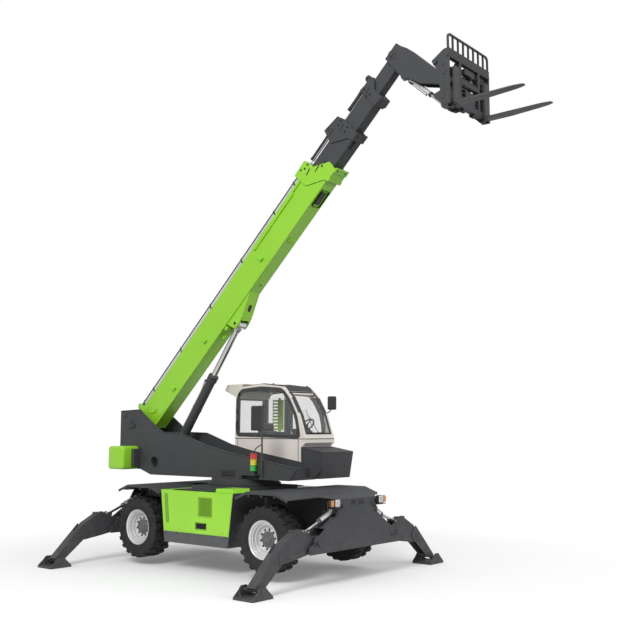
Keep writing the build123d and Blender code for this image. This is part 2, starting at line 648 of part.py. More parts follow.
# ---------------------------------------------------------------- tilt cylinder
anchor_point = (tilt_anchor[0], 0, tilt_anchor[1])
tilt_eye_point = (tilt_eye[0], 0, tilt_eye[1])
with BuildPart() as tilt_barrel:
    rod(between(anchor_point, tilt_eye_point, 30), between(anchor_point, tilt_eye_point, 600),
        tilt_barrel_radius)
    rod((anchor_point[0], -60, anchor_point[2]), (anchor_point[0], 60, anchor_point[2]), 60)
    rod(between(anchor_point, tilt_eye_point, 62), between(anchor_point, tilt_eye_point, 560),
        tilt_rod_radius + 3, Mode.SUBTRACT)
    rod(between(anchor_point, tilt_eye_point, 500), between(anchor_point, tilt_eye_point, 600),
        tilt_rod_radius + fit, Mode.SUBTRACT)
    rod((anchor_point[0], -60, anchor_point[2]), (anchor_point[0], 60, anchor_point[2]),
        25 + fit, Mode.SUBTRACT)
save(tilt_barrel, "tilt_barrel")

with BuildPart() as tilt_rod:
    rod(between(anchor_point, tilt_eye_point, 300), tilt_eye_point, tilt_rod_radius)
    rod((tilt_eye_point[0], -45, tilt_eye_point[2]), (tilt_eye_point[0], 45, tilt_eye_point[2]), 55)
save(tilt_rod, "tilt_rod")

# ---------------------------------------------------------------- carriage and forks
frame_x = (fork_face_x - 100, fork_face_x - 20)
side_cheek = [
    (4760, 8530), (4785, 8470), (4900, 8300), (4910, 8000), (4790, 7960), (4800, 7900),
    (4950, 7760), (5090, 7760), (5090, 8670), (4990, 8675),
]
lower_lug = [(4620, 8040), (4620, 7930), (4720, 7880), (5010, 7900), (5010, 8480), (4740, 8480),
             (4740, 8430), (4590, 8440), (4590, 8320), (4740, 8300), (4800, 8120), (4740, 8040)]
with BuildPart() as fork_carriage:
    w = carriage_half_width
    for _, sy in sides:
        slab(side_plane(max(sy * w, sy * (w - 25))), 25, side_cheek)
        slab(side_plane(max(sy * 127, sy * 152)), 25, lower_lug)
        slab(side_plane(max(sy * 60, sy * 80)), 20,
             [(4620, 8040), (4620, 7930), (4720, 7880), (5010, 7900), (5010, 8090), (4740, 8060)])
    for z_low, z_high in ((8530, 8680), (7780, 7880)):
        block(frame_x, (-w, w), (z_low, z_high))
    for y in (-300, 300):
        block(frame_x, (y - 30, y + 30), (7880, 8530))
    block(frame_x, (-152, 152), (8380, 8480))
    block(frame_x, (-152, 152), (7880, 8100))
    block(frame_x, (-300, 300), (8180, 8260))
    rod((tilt_pin[0], -152, tilt_pin[1]), (tilt_pin[0], 152, tilt_pin[1]), 40)
    rod((frame_x[1] - 40, -w - 10, 8560), (frame_x[1] - 40, w + 10, 8560), 25)
    # backrest
    bar = 24
    with BuildSketch(front_plane(frame_x[1] - 40)) as hoop:
        with Locations((0, 8790)):
            RectangleRounded(2 * w, 300, 80)
            RectangleRounded(2 * (w - 30), 240, 55, mode=Mode.SUBTRACT)
    extrude(hoop.sketch, amount=30)
    for step in range(1, 8):
        y = -w + step * 2 * w / 8
        block((frame_x[1] - 40, frame_x[1] - 10), (y - bar / 2, y + bar / 2), (8660, 8925))
save(fork_carriage, "fork_carriage")

with BuildPart() as forks:
    for _, sy in sides:
        y = (sy * fork_y - fork_width / 2, sy * fork_y + fork_width / 2)
        heel = fork_top - fork_thickness
        shank = [(fork_face_x - 19.5, heel), (fork_face_x - 19.5, 8500), (fork_face_x + 30, 8500),
                 (fork_face_x + 30, fork_top), (fork_face_x + fork_length, fork_top),
                 (fork_face_x + fork_length, fork_top - 15), (fork_face_x + 500, heel)]
        slab(side_plane(y[1]), fork_width, shank)
save(forks, "forks")
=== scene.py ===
import bpy
import bmesh
from math import cos, pi, radians, sin
from mathutils import Matrix, Vector


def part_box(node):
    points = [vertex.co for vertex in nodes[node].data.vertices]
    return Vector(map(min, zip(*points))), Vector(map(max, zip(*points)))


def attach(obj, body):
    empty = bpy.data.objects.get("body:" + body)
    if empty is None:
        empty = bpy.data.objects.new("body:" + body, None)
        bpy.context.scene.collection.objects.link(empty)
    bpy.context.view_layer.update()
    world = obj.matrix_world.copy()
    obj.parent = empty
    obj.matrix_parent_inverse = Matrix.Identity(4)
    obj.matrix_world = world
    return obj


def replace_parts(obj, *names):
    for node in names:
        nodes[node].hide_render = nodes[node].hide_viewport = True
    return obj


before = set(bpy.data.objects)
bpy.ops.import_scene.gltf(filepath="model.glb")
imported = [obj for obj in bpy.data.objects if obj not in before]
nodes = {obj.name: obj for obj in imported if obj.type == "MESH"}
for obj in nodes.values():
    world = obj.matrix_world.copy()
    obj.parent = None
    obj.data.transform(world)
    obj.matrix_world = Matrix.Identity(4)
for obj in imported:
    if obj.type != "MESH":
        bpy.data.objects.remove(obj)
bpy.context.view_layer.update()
scene = bpy.context.scene
print("frame loaded")


def linkObject(name, data):
    made = bpy.data.objects.new(name, data)
    scene.collection.objects.link(made)
    return made



# stage, light and camera
studio = {
    "floorSize": 240, "floorColor": (0.82, 0.82, 0.83, 1), "floorGlow": 0.14,
    "fadeStart": 3.3, "fadeEnd": 7.8,
    "worldStrength": 0.62, "keyPlace": (6, -17, 16), "keySize": 9, "keyPower": 2650,
    "fillPlace": (17, 5, 8), "fillSize": 9, "fillPower": 650,
    "cameraPlace": (12.2914, -12.7241, 2.5651), "cameraYaw": 129.322, "cameraPitch": 6.907,
    "lens": 50.75, "sensor": 36,
}


class Wire:
    # a shader value that can be used in sums
    def __init__(self, tree, socket):
        self.tree, self.socket = tree, socket

    def combine(self, operation, first, second):
        node = self.tree.nodes.new("ShaderNodeMath")
        node.operation = operation
        for slot, value in zip(node.inputs, (first, second)):
            if isinstance(value, Wire):
                self.tree.links.new(value.socket, slot)
            else:
                slot.default_value = value
        return Wire(self.tree, node.outputs[0])

    def __add__(self, other): return self.combine("ADD", self, other)
    def __radd__(self, other): return self.combine("ADD", other, self)
    def __sub__(self, other): return self.combine("SUBTRACT", self, other)
    def __rsub__(self, other): return self.combine("SUBTRACT", other, self)
    def __mul__(self, other): return self.combine("MULTIPLY", self, other)
    def __rmul__(self, other): return self.combine("MULTIPLY", other, self)
    def __gt__(self, other): return self.combine("GREATER_THAN", self, other)
    def __lt__(self, other): return self.combine("LESS_THAN", self, other)


class Finish:
    def __init__(self, name, **fixed):
        self.material = bpy.data.materials.new(name)
        self.material.use_nodes = True
        self.tree = self.material.node_tree
        self.tree.nodes.clear()
        self.output = self.tree.nodes.new("ShaderNodeOutputMaterial")
        self.shader = self.tree.nodes.new("ShaderNodeBsdfPrincipled")
        self.tree.links.new(self.shader.outputs[0], self.output.inputs[0])
        for socket, value in fixed.items():
            self.shader.inputs[socket.replace("_", " ")].default_value = value
        self.place = self.add("ShaderNodeTexCoord", output="Object")

    def add(self, kind, settings=None, values=None, output=0):
        node = self.tree.nodes.new(kind)
        for key, value in (settings or {}).items():
            if key == "stops":
                ramp = node.color_ramp
                while len(ramp.elements) < len(value):
                    ramp.elements.new(0.5)
                for element, (position, shade) in zip(ramp.elements, value):
                    element.position = position
                    element.color = (shade, shade, shade, 1)
            else:
                setattr(node, key, value)
        for key, value in (values or {}).items():
            if isinstance(value, Wire):
                self.tree.links.new(value.socket, node.inputs[key])
            else:
                node.inputs[key].default_value = value
        return Wire(self.tree, node.outputs[output])

    def feed(self, socket, wire):
        self.tree.links.new(wire.socket, self.shader.inputs[socket])

    def noise(self, scale, detail=2.0, stretch=None, low=0.35, high=0.65):
        place = self.place
        if stretch:
            place = self.add("ShaderNodeMapping", None, {"Vector": place, "Scale": stretch})
        grain = self.add("ShaderNodeTexNoise", None,
                         {"Vector": place, "Scale": scale, "Detail": detail}, "Fac")
        return self.add("ShaderNodeValToRGB", {"stops": [(low, 0), (high, 1)]}, {"Fac": grain})

    def blendColors(self, mask, first, second):
        return self.add("ShaderNodeMix", {"data_type": "RGBA"},
                        {0: mask, 6: first, 7: second}, 2)

    def bump(self, height, strength, distance, rounding=0):
        values = {"Height": height, "Strength": strength, "Distance": distance}
        if rounding:
            values["Normal"] = self.add("ShaderNodeBevel", {"samples": 4}, {"Radius": rounding})
        return self.add("ShaderNodeBump", None, values)

    def axis(self, name):
        return self.add("ShaderNodeSeparateXYZ", None, {"Vector": self.place}, name)


def shade(color, factor):
    return tuple(min(1, channel * factor) for channel in color[:3]) + (1,)


# a sprayed coat: orange peel, faint clouding, dust low down, and grey along its edges, partly wear and
# partly a painted highlight
def sprayedPaint(name, color, roughness=0.34, coat=0.3, edgeWearAndHighlight=0.35, dust=0.12, rounding=0.004,
                 second=None, metallic=0.0, specular=0.5):
    paint = Finish(name, Coat_Weight=coat, Coat_Roughness=0.18, Specular_IOR_Level=specular,
                   Metallic=metallic)
    clouds = paint.noise(0.9, 3.0)
    base = paint.blendColors(clouds, shade(color, 0.97), shade(color, 1.03))
    if second:
        strip = second["where"](paint)
        base = paint.blendColors(strip, base, second["color"])
    low = paint.add("ShaderNodeMapRange", None, {
        "Value": paint.axis("Z"), "From Min": 0.0, "From Max": 1.5, "To Min": dust, "To Max": 0.0})
    specks = paint.noise(7.0, 6.0, low=0.42, high=0.72)
    base = paint.blendColors(low * specks, base, (0.30, 0.27, 0.23, 1))
    # where the rounded normal leaves the flat one, the surface is at an edge
    rounded = paint.add("ShaderNodeBevel", {"samples": 4}, {"Radius": rounding * 1.6})
    flat = paint.add("ShaderNodeNewGeometry", None, None, "Normal")
    along = paint.add("ShaderNodeVectorMath", {"operation": "DOT_PRODUCT"},
                      {0: rounded, 1: flat}, "Value")
    edge = paint.add("ShaderNodeMapRange", None, {
        "Value": along, "From Min": 0.97, "From Max": 0.80, "To Min": 0.0, "To Max": 1.0})
    # the edges turn grey: worn paint, and also a painted highlight along them
    wornAndHighlitEdge = edge * paint.noise(24.0, 5.0, low=0.48, high=0.6) * edgeWearAndHighlight
    paint.feed("Base Color", paint.blendColors(wornAndHighlitEdge, base, (0.36, 0.36, 0.36, 1)))
    scuffs = paint.noise(3.2, 6.0, (1, 1, 3), 0.5, 0.75)
    paint.feed("Roughness", roughness + scuffs * 0.12 + wornAndHighlitEdge * 0.2)
    peel = paint.noise(520.0, 1.0, low=0.2, high=0.8)
    paint.feed("Normal", paint.bump(peel, 0.05, 0.0004, rounding))
    return paint.material


def bareMetal(name, color, roughness, scratch, stretch, coat=0.0):
    metal = Finish(name, Metallic=1.0, Coat_Weight=coat)
    lines = metal.noise(60.0, 4.0, stretch, 0.3, 0.7)
    smear = metal.noise(4.0, 4.0, low=0.4, high=0.7)
    metal.feed("Base Color", metal.blendColors(smear, shade(color, 0.93), color))
    metal.feed("Roughness", roughness + lines * scratch + smear * 0.05)
    metal.feed("Normal", metal.bump(lines, 0.05, 0.0003))
    return metal.material


def mouldedPlastic(name, color, roughness=0.55, grain=420.0, strength=0.25, **fixed):
    plastic = Finish(name, **fixed)
    fine = plastic.noise(grain, 2.0, low=0.3, high=0.7)
    broad = plastic.noise(5.0, 3.0)
    plastic.feed("Base Color", plastic.blendColors(broad, shade(color, 0.9), shade(color, 1.08)))
    plastic.feed("Roughness", roughness + fine * 0.1)
    plastic.feed("Normal", plastic.bump(fine, strength, 0.0004))
    return plastic.material


lime = (0.335, 0.745, 0.03, 1)
darkGrey = (0.062, 0.064, 0.069, 1)
beige = (0.87, 0.815, 0.755, 1)
limePaint = sprayedPaint("limePaint", lime, edgeWearAndHighlight=0.25)
hoodPaint = sprayedPaint("hoodPaint", lime, edgeWearAndHighlight=0.25, second={
    "color": darkGrey,
    "where": lambda paint: (paint.axis("Z") < 0.695)
    + (paint.axis("X") - paint.axis("Z") * 0.1263 > 0.7615)
    + (paint.axis("X") * -1 - paint.axis("Z") * 0.1263 > 0.7615)})
# near black: painted shade for slits
shadedDark = sprayedPaint("shadedDark", shade(darkGrey, 0.35), roughness=0.6, coat=0.0, edgeWearAndHighlight=0.0)
# a brighter lime: painted light for a part in shadow
brightLime = sprayedPaint("brightLime", (0.62, 1.0, 0.06, 1), edgeWearAndHighlight=0.1, dust=0.0)
# a darker lime: painted shade for a recess
shadedLime = sprayedPaint("shadedLime", shade(lime, 0.55), edgeWearAndHighlight=0.1)
darkPaint = sprayedPaint("darkPaint", darkGrey, roughness=0.55, coat=0.0, edgeWearAndHighlight=0.18, specular=0.28)
castPaint = sprayedPaint("castPaint", shade(darkGrey, 0.7), roughness=0.6, coat=0.0, edgeWearAndHighlight=0.3,
                         dust=0.35, rounding=0.008)
hubPaint = sprayedPaint("hubPaint", (0.125, 0.125, 0.13, 1), roughness=0.4, coat=0.1, edgeWearAndHighlight=0.2)
cabPaint = sprayedPaint("cabPaint", beige, roughness=0.36, edgeWearAndHighlight=0.1, dust=0.0, second={
    "color": (0.10, 0.10, 0.105, 1),
    "where": lambda paint: (paint.axis("Y") > 0.408) * (paint.axis("Y") < 1.272)
    * (paint.axis("X") < 1.0) * (paint.axis("X") > -0.655) * (paint.axis("Z") < 3.18)})
silverPaint = sprayedPaint("silverPaint", (0.70, 0.70, 0.71, 1), roughness=0.30, coat=0.3,
                           edgeWearAndHighlight=0.0, dust=0.05, metallic=0.35)
blackPlastic = mouldedPlastic("blackPlastic", (0.022, 0.022, 0.024, 1))
trimPlastic = mouldedPlastic("trimPlastic", (0.30, 0.30, 0.295, 1), 0.6)
sealRubber = mouldedPlastic("sealRubber", (0.062, 0.062, 0.062, 1), 0.75, 200.0, 0.1)
chromeRod = bareMetal("chromeRod", (0.58, 0.58, 0.59, 1), 0.12, 0.06, (1, 1, 1))
zincSteel = bareMetal("zincSteel", (0.50, 0.50, 0.50, 1), 0.34, 0.12, (1, 1, 1))
forgedSteel = sprayedPaint("forgedSteel", (0.05, 0.051, 0.054, 1), roughness=0.5, coat=0.0,
                           edgeWearAndHighlight=0.9, dust=0.0)
ironCasting = mouldedPlastic("ironCasting", (0.05, 0.05, 0.05, 1), 0.7, 90.0, 0.5)


def tyreRubberFinish():
    rubber = Finish("tyreRubber", Specular_IOR_Level=0.35)
    dusty = rubber.noise(9.0, 6.0, low=0.4, high=0.75)
    fine = rubber.noise(240.0, 3.0)
    rubber.feed("Base Color", rubber.blendColors(dusty, (0.016, 0.016, 0.017, 1),
                                                 (0.036, 0.034, 0.031, 1)))
    rubber.feed("Roughness", 0.62 + dusty * 0.22)
    rubber.feed("Normal", rubber.bump(fine, 0.2, 0.0006))
    return rubber.material


def glassFinish():
    pane = Finish("safetyGlass", Roughness=0.02, IOR=1.45, Base_Color=(0.42, 0.44, 0.44, 1))
    haze = pane.noise(1.2, 1.0, low=0.35, high=0.8)
    pane.feed("Alpha", 0.11 + haze * 0.01)
    return pane.material


def lensFinish(name, color, glow=0.0):
    lens = Finish(name, Roughness=0.12, Coat_Weight=0.6, Emission_Strength=glow)
    ribs = lens.add("ShaderNodeTexWave", {"bands_direction": "Z"},
                    {"Vector": lens.place, "Scale": 45.0}, "Fac")
    lens.feed("Base Color", lens.blendColors(ribs, shade(color, 0.75), color))
    lens.feed("Normal", lens.bump(ribs, 0.35, 0.001))
    return lens.material


def clothFinish():
    cloth = Finish("seatCloth", Sheen_Weight=0.4, Specular_IOR_Level=0.2)
    warp = cloth.add("ShaderNodeTexWave", {"bands_direction": "X"},
                     {"Vector": cloth.place, "Scale": 160.0, "Distortion": 0.6}, "Fac")
    weft = cloth.add("ShaderNodeTexWave", {"bands_direction": "Y"},
                     {"Vector": cloth.place, "Scale": 160.0, "Distortion": 0.6}, "Fac")
    weave = warp * weft
    worn = cloth.noise(6.0, 5.0)
    dyed = cloth.blendColors(weave, (0.022, 0.023, 0.027, 1), (0.075, 0.078, 0.085, 1))
    cloth.feed("Base Color", cloth.blendColors(worn * 0.3, dyed, (0.09, 0.088, 0.085, 1)))
    cloth.feed("Roughness", 0.85 + weave * 0.1)
    cloth.feed("Normal", cloth.bump(weave, 0.5, 0.0008))
    return cloth.material


tyreRubber = tyreRubberFinish()
safetyGlass = glassFinish()
seatCloth = clothFinish()
clearLens = lensFinish("clearLens", (0.85, 0.86, 0.88, 1))
orangeLens = lensFinish("orangeLens", (0.85, 0.28, 0.02, 1))
redLens = lensFinish("redLens", (0.80, 0.03, 0.03, 1))
yellowLens = lensFinish("yellowLens", (0.90, 0.72, 0.05, 1))
greenLens = lensFinish("greenLens", (0.03, 0.55, 0.07, 1))
mirrorGlass = bareMetal("mirrorGlass", (0.85, 0.86, 0.87, 1), 0.03, 0.01, (1, 1, 1))

nodeFinish = {
    "engine_hood": hoodPaint, "tank_cover": hoodPaint, "counterweight": limePaint,
    "boom_base": limePaint, "cab_frame": cabPaint, "cab_door": cabPaint,
    "cab_glass": safetyGlass, "door_glass": safetyGlass, "seat": seatCloth,
    "steering_console": blackPlastic, "engine_block": ironCasting,
    "lift_rod": chromeRod, "tilt_rod": chromeRod, "forks": forgedSteel,
    "front_axle": castPaint, "rear_axle": castPaint,
}
endings = {"_tyre": tyreRubber, "_rim": silverPaint, "_ram_rod": chromeRod, "_ram_barrel": silverPaint,
           "_knuckle": castPaint}
for name, node in nodes.items():
    finish = nodeFinish.get(name, darkPaint)
    for ending, other in endings.items():
        if name.endswith(ending):
            finish = other
    node.data.materials.clear()
    node.data.materials.append(finish)
print("finishes made")


def stageFinish(name, color, glow):
    # pale near the machine, and plain white further off
    finish = Finish(name, Roughness=0.9, Specular_IOR_Level=0.0, Emission_Color=(1, 1, 1, 1))
    distance = finish.add("ShaderNodeVectorMath", {"operation": "LENGTH"}, {0: finish.place}, "Value")
    far = finish.add("ShaderNodeMapRange", None, {
        "Value": distance, "From Min": studio["fadeStart"], "From Max": studio["fadeEnd"]})
    finish.feed("Base Color", finish.blendColors(far, color, (0, 0, 0, 1)))
    seen = finish.add("ShaderNodeLightPath", output="Is Camera Ray")
    seen = seen + finish.add("ShaderNodeLightPath", output="Is Glossy Ray")
    seen = seen + finish.add("ShaderNodeLightPath", output="Is Transmission Ray")
    finish.feed("Emission Strength", seen * (glow + far * (1 - glow)))
    return finish.material


floorMesh = bmesh.new()
bmesh.ops.create_grid(floorMesh, x_segments=1, y_segments=1, size=studio["floorSize"])
floorData = bpy.data.meshes.new("floor")
floorMesh.to_mesh(floorData)
floor = linkObject("floor", floorData)
floorData.materials.append(stageFinish("studioFloor", studio["floorColor"], studio["floorGlow"]))

world = bpy.data.worlds.new("studio")
scene.world = world
world.use_nodes = True
skyTree = world.node_tree
sky = skyTree.nodes["Background"]
sky.inputs["Color"].default_value = (1, 1, 1, 1)
skyPath = skyTree.nodes.new("ShaderNodeLightPath")
skySeen = Wire(skyTree, skyPath.outputs["Is Camera Ray"])
skySeen = skySeen + Wire(skyTree, skyPath.outputs["Is Transmission Ray"])
skyLevel = studio["worldStrength"] + skySeen * (1 - studio["worldStrength"])
skyTree.links.new(skyLevel.socket, sky.inputs["Strength"])


def softLamp(name, place, target, size, power):
    data = bpy.data.lights.new(name, "AREA")
    data.shape = "DISK"
    data.size = size
    data.energy = power
    lamp = linkObject(name, data)
    lamp.location = place
    lamp.rotation_euler = (Vector(target) - Vector(place)).to_track_quat("-Z", "Y").to_euler()


softLamp("keyLamp", studio["keyPlace"], (0, 0, 2.5), studio["keySize"], studio["keyPower"])
softLamp("fillLamp", studio["fillPlace"], (0, 0, 3), studio["fillSize"], studio["fillPower"])

cameraData = bpy.data.cameras.new("camera")
cameraData.lens = studio["lens"]
cameraData.sensor_width = studio["sensor"]
cameraData.clip_end = 500
camera = linkObject("camera", cameraData)
yaw, pitch = radians(studio["cameraYaw"]), radians(studio["cameraPitch"])
sightLine = Vector((cos(pitch) * cos(yaw), cos(pitch) * sin(yaw), sin(pitch)))
camera.location = studio["cameraPlace"]
camera.rotation_euler = sightLine.to_track_quat("-Z", "Y").to_euler()
scene.camera = camera
scene.view_settings.view_transform = "Standard"
print("studio ready")

boomPivot, boomAngle = Vector((-2.976, 0, 2.733)), radians(44)
boomTurn = Matrix.Rotation(-boomAngle, 4, "Y")
sharpAngle = radians(34)
poleRadius = 0.0005  # a turned shape closes this far from its axis
overlap = 0.001  # how far a fitting sinks into the skin that it stands on
flip = Vector((1, 1, 1))  # the end and the side that are being made: places are given for front left


def eachEnd():
    for end, flip.x in (("front", 1), ("rear", -1)):
        yield end
    flip.x = 1


def eachSide():
    for side, flip.y in (("left", 1), ("right", -1)):
        yield side
    flip.y = 1


def eachCorner():
    for end in eachEnd():
        for side in eachSide():
            yield end + "_" + side


def mirrored(point):
    return Vector(point) * flip


def spaced(low, high, count):
    return [low + (high - low) * step / (count - 1) for step in range(count)]


def rectangle(axis, level, a, b):
    # four corners square to an axis
    corners = [[a[0], b[0]], [a[1], b[0]], [a[1], b[1]], [a[0], b[1]]]
    for corner in corners:
        corner.insert(axis, level)
    return corners


def vertsOf(geometry):
    return [g for g in geometry if isinstance(g, bmesh.types.BMVert)]


def addPiece(name, mesh, finish, body, bevel=0.0, segments=2):
    data = bpy.data.meshes.new(name)
    bmesh.ops.recalc_face_normals(mesh, faces=mesh.faces)
    mesh.to_mesh(data)
    mesh.free()
    data.materials.append(finish)
    piece = linkObject(name, data)
    data.shade_smooth()
    data.set_sharp_from_angle(angle=sharpAngle)
    if bevel:
        edges = piece.modifiers.new("edges", "BEVEL")
        edges.width = bevel
        edges.segments = segments
        edges.limit_method = "ANGLE"
        edges.angle_limit = sharpAngle
        edges.harden_normals = True
    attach(piece, body)
    return piece


def addBox(mesh, x, y, z, turn=None):
    made = bmesh.ops.create_cube(mesh, size=1)["verts"]
    bmesh.ops.scale(mesh, vec=[abs(high - low) for low, high in (x, y, z)], verts=made)
    if turn:
        bmesh.ops.rotate(mesh, matrix=turn.to_3x3(), verts=made)
    middle = [(low + high) / 2 for low, high in (x, y, z)]
    bmesh.ops.translate(mesh, vec=mirrored(middle), verts=made)
    return made


def addBoxes(mesh, *rows):
    for row in rows:
        addBox(mesh, row[:2], row[2:4], row[4:])


def boomPoint(u, v, y=0.0):
    return boomPivot + boomTurn @ Vector((u, y, v))


def addBoomBoxes(mesh, *rows):
    # rows along the boom, above its line and across it
    for u0, u1, v0, v1, y0, y1 in rows:
        made = addBox(mesh, (u0, u1), (y0, y1), (v0, v1))
        bmesh.ops.rotate(mesh, matrix=boomTurn.to_3x3(), verts=made)
        bmesh.ops.translate(mesh, vec=boomPivot, verts=made)


def addRod(mesh, start, end, radius, sides=20, endRadius=None):
    start, end = mirrored(start), mirrored(end)
    turn = (end - start).to_track_quat("Z", "Y").to_matrix().to_4x4()
    bmesh.ops.create_cone(
        mesh, cap_ends=True, segments=sides, radius1=radius,
        radius2=radius if endRadius is None else endRadius, depth=(end - start).length,
        matrix=Matrix.Translation((start + end) / 2) @ turn)


def thicken(mesh, faces, push):
    grown = bmesh.ops.extrude_face_region(mesh, geom=faces)["geom"]
    bmesh.ops.translate(mesh, vec=mirrored(push), verts=vertsOf(grown))


def addPlate(mesh, outline, push):
    thicken(mesh, [mesh.faces.new([mesh.verts.new(mirrored(corner)) for corner in outline])], push)


def addFrame(mesh, outline, width, push):
    # a flat ring inside an outline, given its thickness
    face = mesh.faces.new([mesh.verts.new(mirrored(corner)) for corner in outline])
    ring = bmesh.ops.inset_region(mesh, faces=[face], thickness=width, use_even_offset=True,
                                  use_boundary=True)["faces"]
    bmesh.ops.delete(mesh, geom=[face], context="FACES")
    thicken(mesh, ring, push)


def addRing(mesh, center, axis, profile, steps=64, angle=2 * pi):
    # profile: (distance along the axis, radius), closed, spun about the axis
    center, axis = mirrored(center), mirrored(axis).normalized()
    side = axis.orthogonal().normalized()
    points = [mesh.verts.new(center + axis * along + side * out) for along, out in profile]
    edges = [mesh.edges.new((points[i - 1], points[i])) for i in range(len(points))]
    bmesh.ops.spin(mesh, geom=points + edges, cent=center, axis=axis, angle=angle, steps=steps,
                   use_merge=angle > 6.28, dvec=(0, 0, 0))


def addBoss(mesh, center, axis, steps, *profile):
    # a solid turned boss, from the edge of its top down to its foot
    base = profile[-1][0]
    addRing(mesh, center, axis, [(base, poleRadius), (profile[0][0], poleRadius), *profile], steps)


def addBolt(mesh, place, axis, size=0.016):
    # washer and hexagon head
    place, axis = Vector(place), Vector(axis).normalized()
    addRod(mesh, place - axis * overlap, place + axis * size * 0.22, size * 1.15, 14)
    addRod(mesh, place + axis * size * 0.22, place + axis * size * 0.95, size * 0.88, 6)


def addBoltRing(mesh, center, axis, radius, count, size, offset=0.0):
    axis = mirrored(axis).normalized()
    side = axis.orthogonal().normalized()
    for step in range(count):
        turn = Matrix.Rotation(2 * pi * (step + offset) / count, 3, axis)
        addBolt(mesh, Vector(center) + mirrored(turn @ side * radius), mirrored(axis), size)


def addPipe(name, points, radius, finish, body):
    # a bent rigid pipe through its corner points
    line = bpy.data.curves.new(name, "CURVE")
    line.dimensions = "3D"
    line.bevel_depth = radius
    line.bevel_resolution = 3
    line.use_fill_caps = True
    route = line.splines.new("NURBS")
    route.points.add(len(points) - 1)
    for point, place in zip(route.points, points):
        point.co = (*mirrored(place), 1)
    route.order_u = 3
    route.use_endpoint_u = True
    route.resolution_u = 6
    line.materials.append(finish)
    pipe = linkObject(name, line)
    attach(pipe, body)


# wheels
wheel = {
    "hub": (1.642, 1.0525, 0.70), "lugs": 21,
    "carcass": [(-0.184, 0.312), (-0.200, 0.330), (-0.213, 0.360), (-0.2185, 0.41),
                (-0.2185, 0.500), (-0.212, 0.528), (-0.192, 0.545), (-0.150, 0.549), (0.0, 0.550),
                (0.150, 0.549), (0.192, 0.545), (0.212, 0.528), (0.2185, 0.500),
                (0.2185, 0.41), (0.213, 0.360), (0.200, 0.330), (0.184, 0.312), (0.16, 0.30),
                (0.17, 0.36), (0.18, 0.44), (0.14, 0.505), (0.0, 0.512), (-0.14, 0.505),
                (-0.18, 0.44), (-0.17, 0.36), (-0.16, 0.30)],
    "rim": [(0.204, 0.330), (0.198, 0.333), (0.184, 0.316), (0.150, 0.292), (0.02, 0.286),
            (-0.150, 0.292), (-0.184, 0.316), (-0.198, 0.333), (-0.204, 0.330),
            (-0.200, 0.316), (-0.176, 0.296), (-0.150, 0.276), (-0.02, 0.262), (0.038, 0.262),
            (0.038, 0.130), (0.058, 0.130), (0.064, 0.200), (0.056, 0.222), (0.072, 0.232),
            (0.110, 0.238), (0.112, 0.262), (0.128, 0.268), (0.160, 0.272), (0.162, 0.292),
            (0.186, 0.298), (0.190, 0.312)],
    "cap": [(0.0, 0.140), (0.070, 0.140), (0.084, 0.134), (0.088, 0.120), (0.090, 0.094),
            (0.108, 0.088), (0.112, 0.078), (0.112, 0.034), (0.118, 0.028), (0.118, poleRadius),
            (0.0, poleRadius)],
    "backHub": [(-0.062, 0.062), (-0.062, 0.129), (0.04, 0.129), (0.04, 0.062)],
    # tread blocks: half sizes, place on the tyre, and whether and how far each is turned
    "blocks": [((0.030, 0.062, 0.02), (0, 0.082, 0.5545), "Z", 0.40),
               ((0.036, 0.046, 0.022), (0.034, 0.172, 0.5475), "X", -0.10),
               ((0.030, 0.012, 0.026), (0.034, 0.2095, 0.532), "X", 0)],
    "boltRings": [(0.060, 0.1675, 10, 0.0175), (0.1115, 0.060, 8, 0.007), (0.0885, 0.1075, 12, 0.006)],
}
for corner in eachCorner():
    body = corner + "_wheel"
    hub, out = Vector(wheel["hub"]), (0, 1, 0)
    center = mirrored(hub)
    tyre = bmesh.new()
    addRing(tyre, hub, out, wheel["carcass"], 72)
    for face in (-1, 1):
        # three blocks on each half of the tread, repeated round the tyre
        blocks = []
        for size, (x, y, z), axis, angle in wheel["blocks"]:
            block = addBox(tyre, *[(-half, half) for half in size],
                           Matrix.Rotation(face * angle, 4, axis))
            bmesh.ops.translate(tyre, vec=(x, face * y, z), verts=block)
            blocks += block
        shaped = bmesh.ops.bevel(tyre, geom=list({e for v in blocks for e in v.link_edges}),
                                 offset=0.0035, offset_type="OFFSET", segments=1, profile=0.5,
                                 affect="EDGES", material=-1)
        verts = list(shaped["verts"])
        verts += [v for v in blocks if v.is_valid and v not in verts]
        faces = list({f for v in verts for f in v.link_faces})
        pitch = 2 * pi / wheel["lugs"]
        bmesh.ops.rotate(tyre, matrix=Matrix.Rotation(pitch / 2 * (face > 0), 3, "Y"), verts=verts)
        for step in range(1, wheel["lugs"]):
            copy = vertsOf(bmesh.ops.duplicate(tyre, geom=verts + faces)["geom"])
            bmesh.ops.rotate(tyre, matrix=Matrix.Rotation(pitch * step, 3, "Y"), verts=copy)
            bmesh.ops.translate(tyre, vec=center, verts=copy)
        bmesh.ops.translate(tyre, vec=center, verts=verts)
    for face in (-1, 1):
        # one raised band on each wall, beside the rim
        addRing(tyre, hub, out, [(face * 0.212, 0.372), (face * 0.2205, 0.376),
                                 (face * 0.2205, 0.386), (face * 0.212, 0.390)], 72)
    tread = addPiece(corner + "_tread_tyre", tyre, tyreRubber, body)
    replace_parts(tread, corner + "_tyre")

    dish = bmesh.new()
    addRing(dish, hub, out, wheel["rim"], 72)
    rim = addPiece(corner + "_dished_rim", dish, silverPaint, body)
    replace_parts(rim, corner + "_rim")
    drum = bmesh.new()
    addRing(drum, hub, out, wheel["cap"], 48)
    addRing(drum, hub, out, wheel["backHub"], 48)
    addPiece(corner + "_hub", drum, hubPaint, body, 0.003)
    studs = bmesh.new()
    for along, radius, count, size in wheel["boltRings"]:
        addBoltRing(studs, hub + Vector((0, along, 0)), out, radius, count, size)
    addRod(studs, hub + Vector((0, 0.055, 0.232)), hub + Vector((0, 0.10, 0.245)), 0.006, 10)
    addPiece(corner + "_wheel_nuts", studs, blackPlastic, body)
print("wheels made")

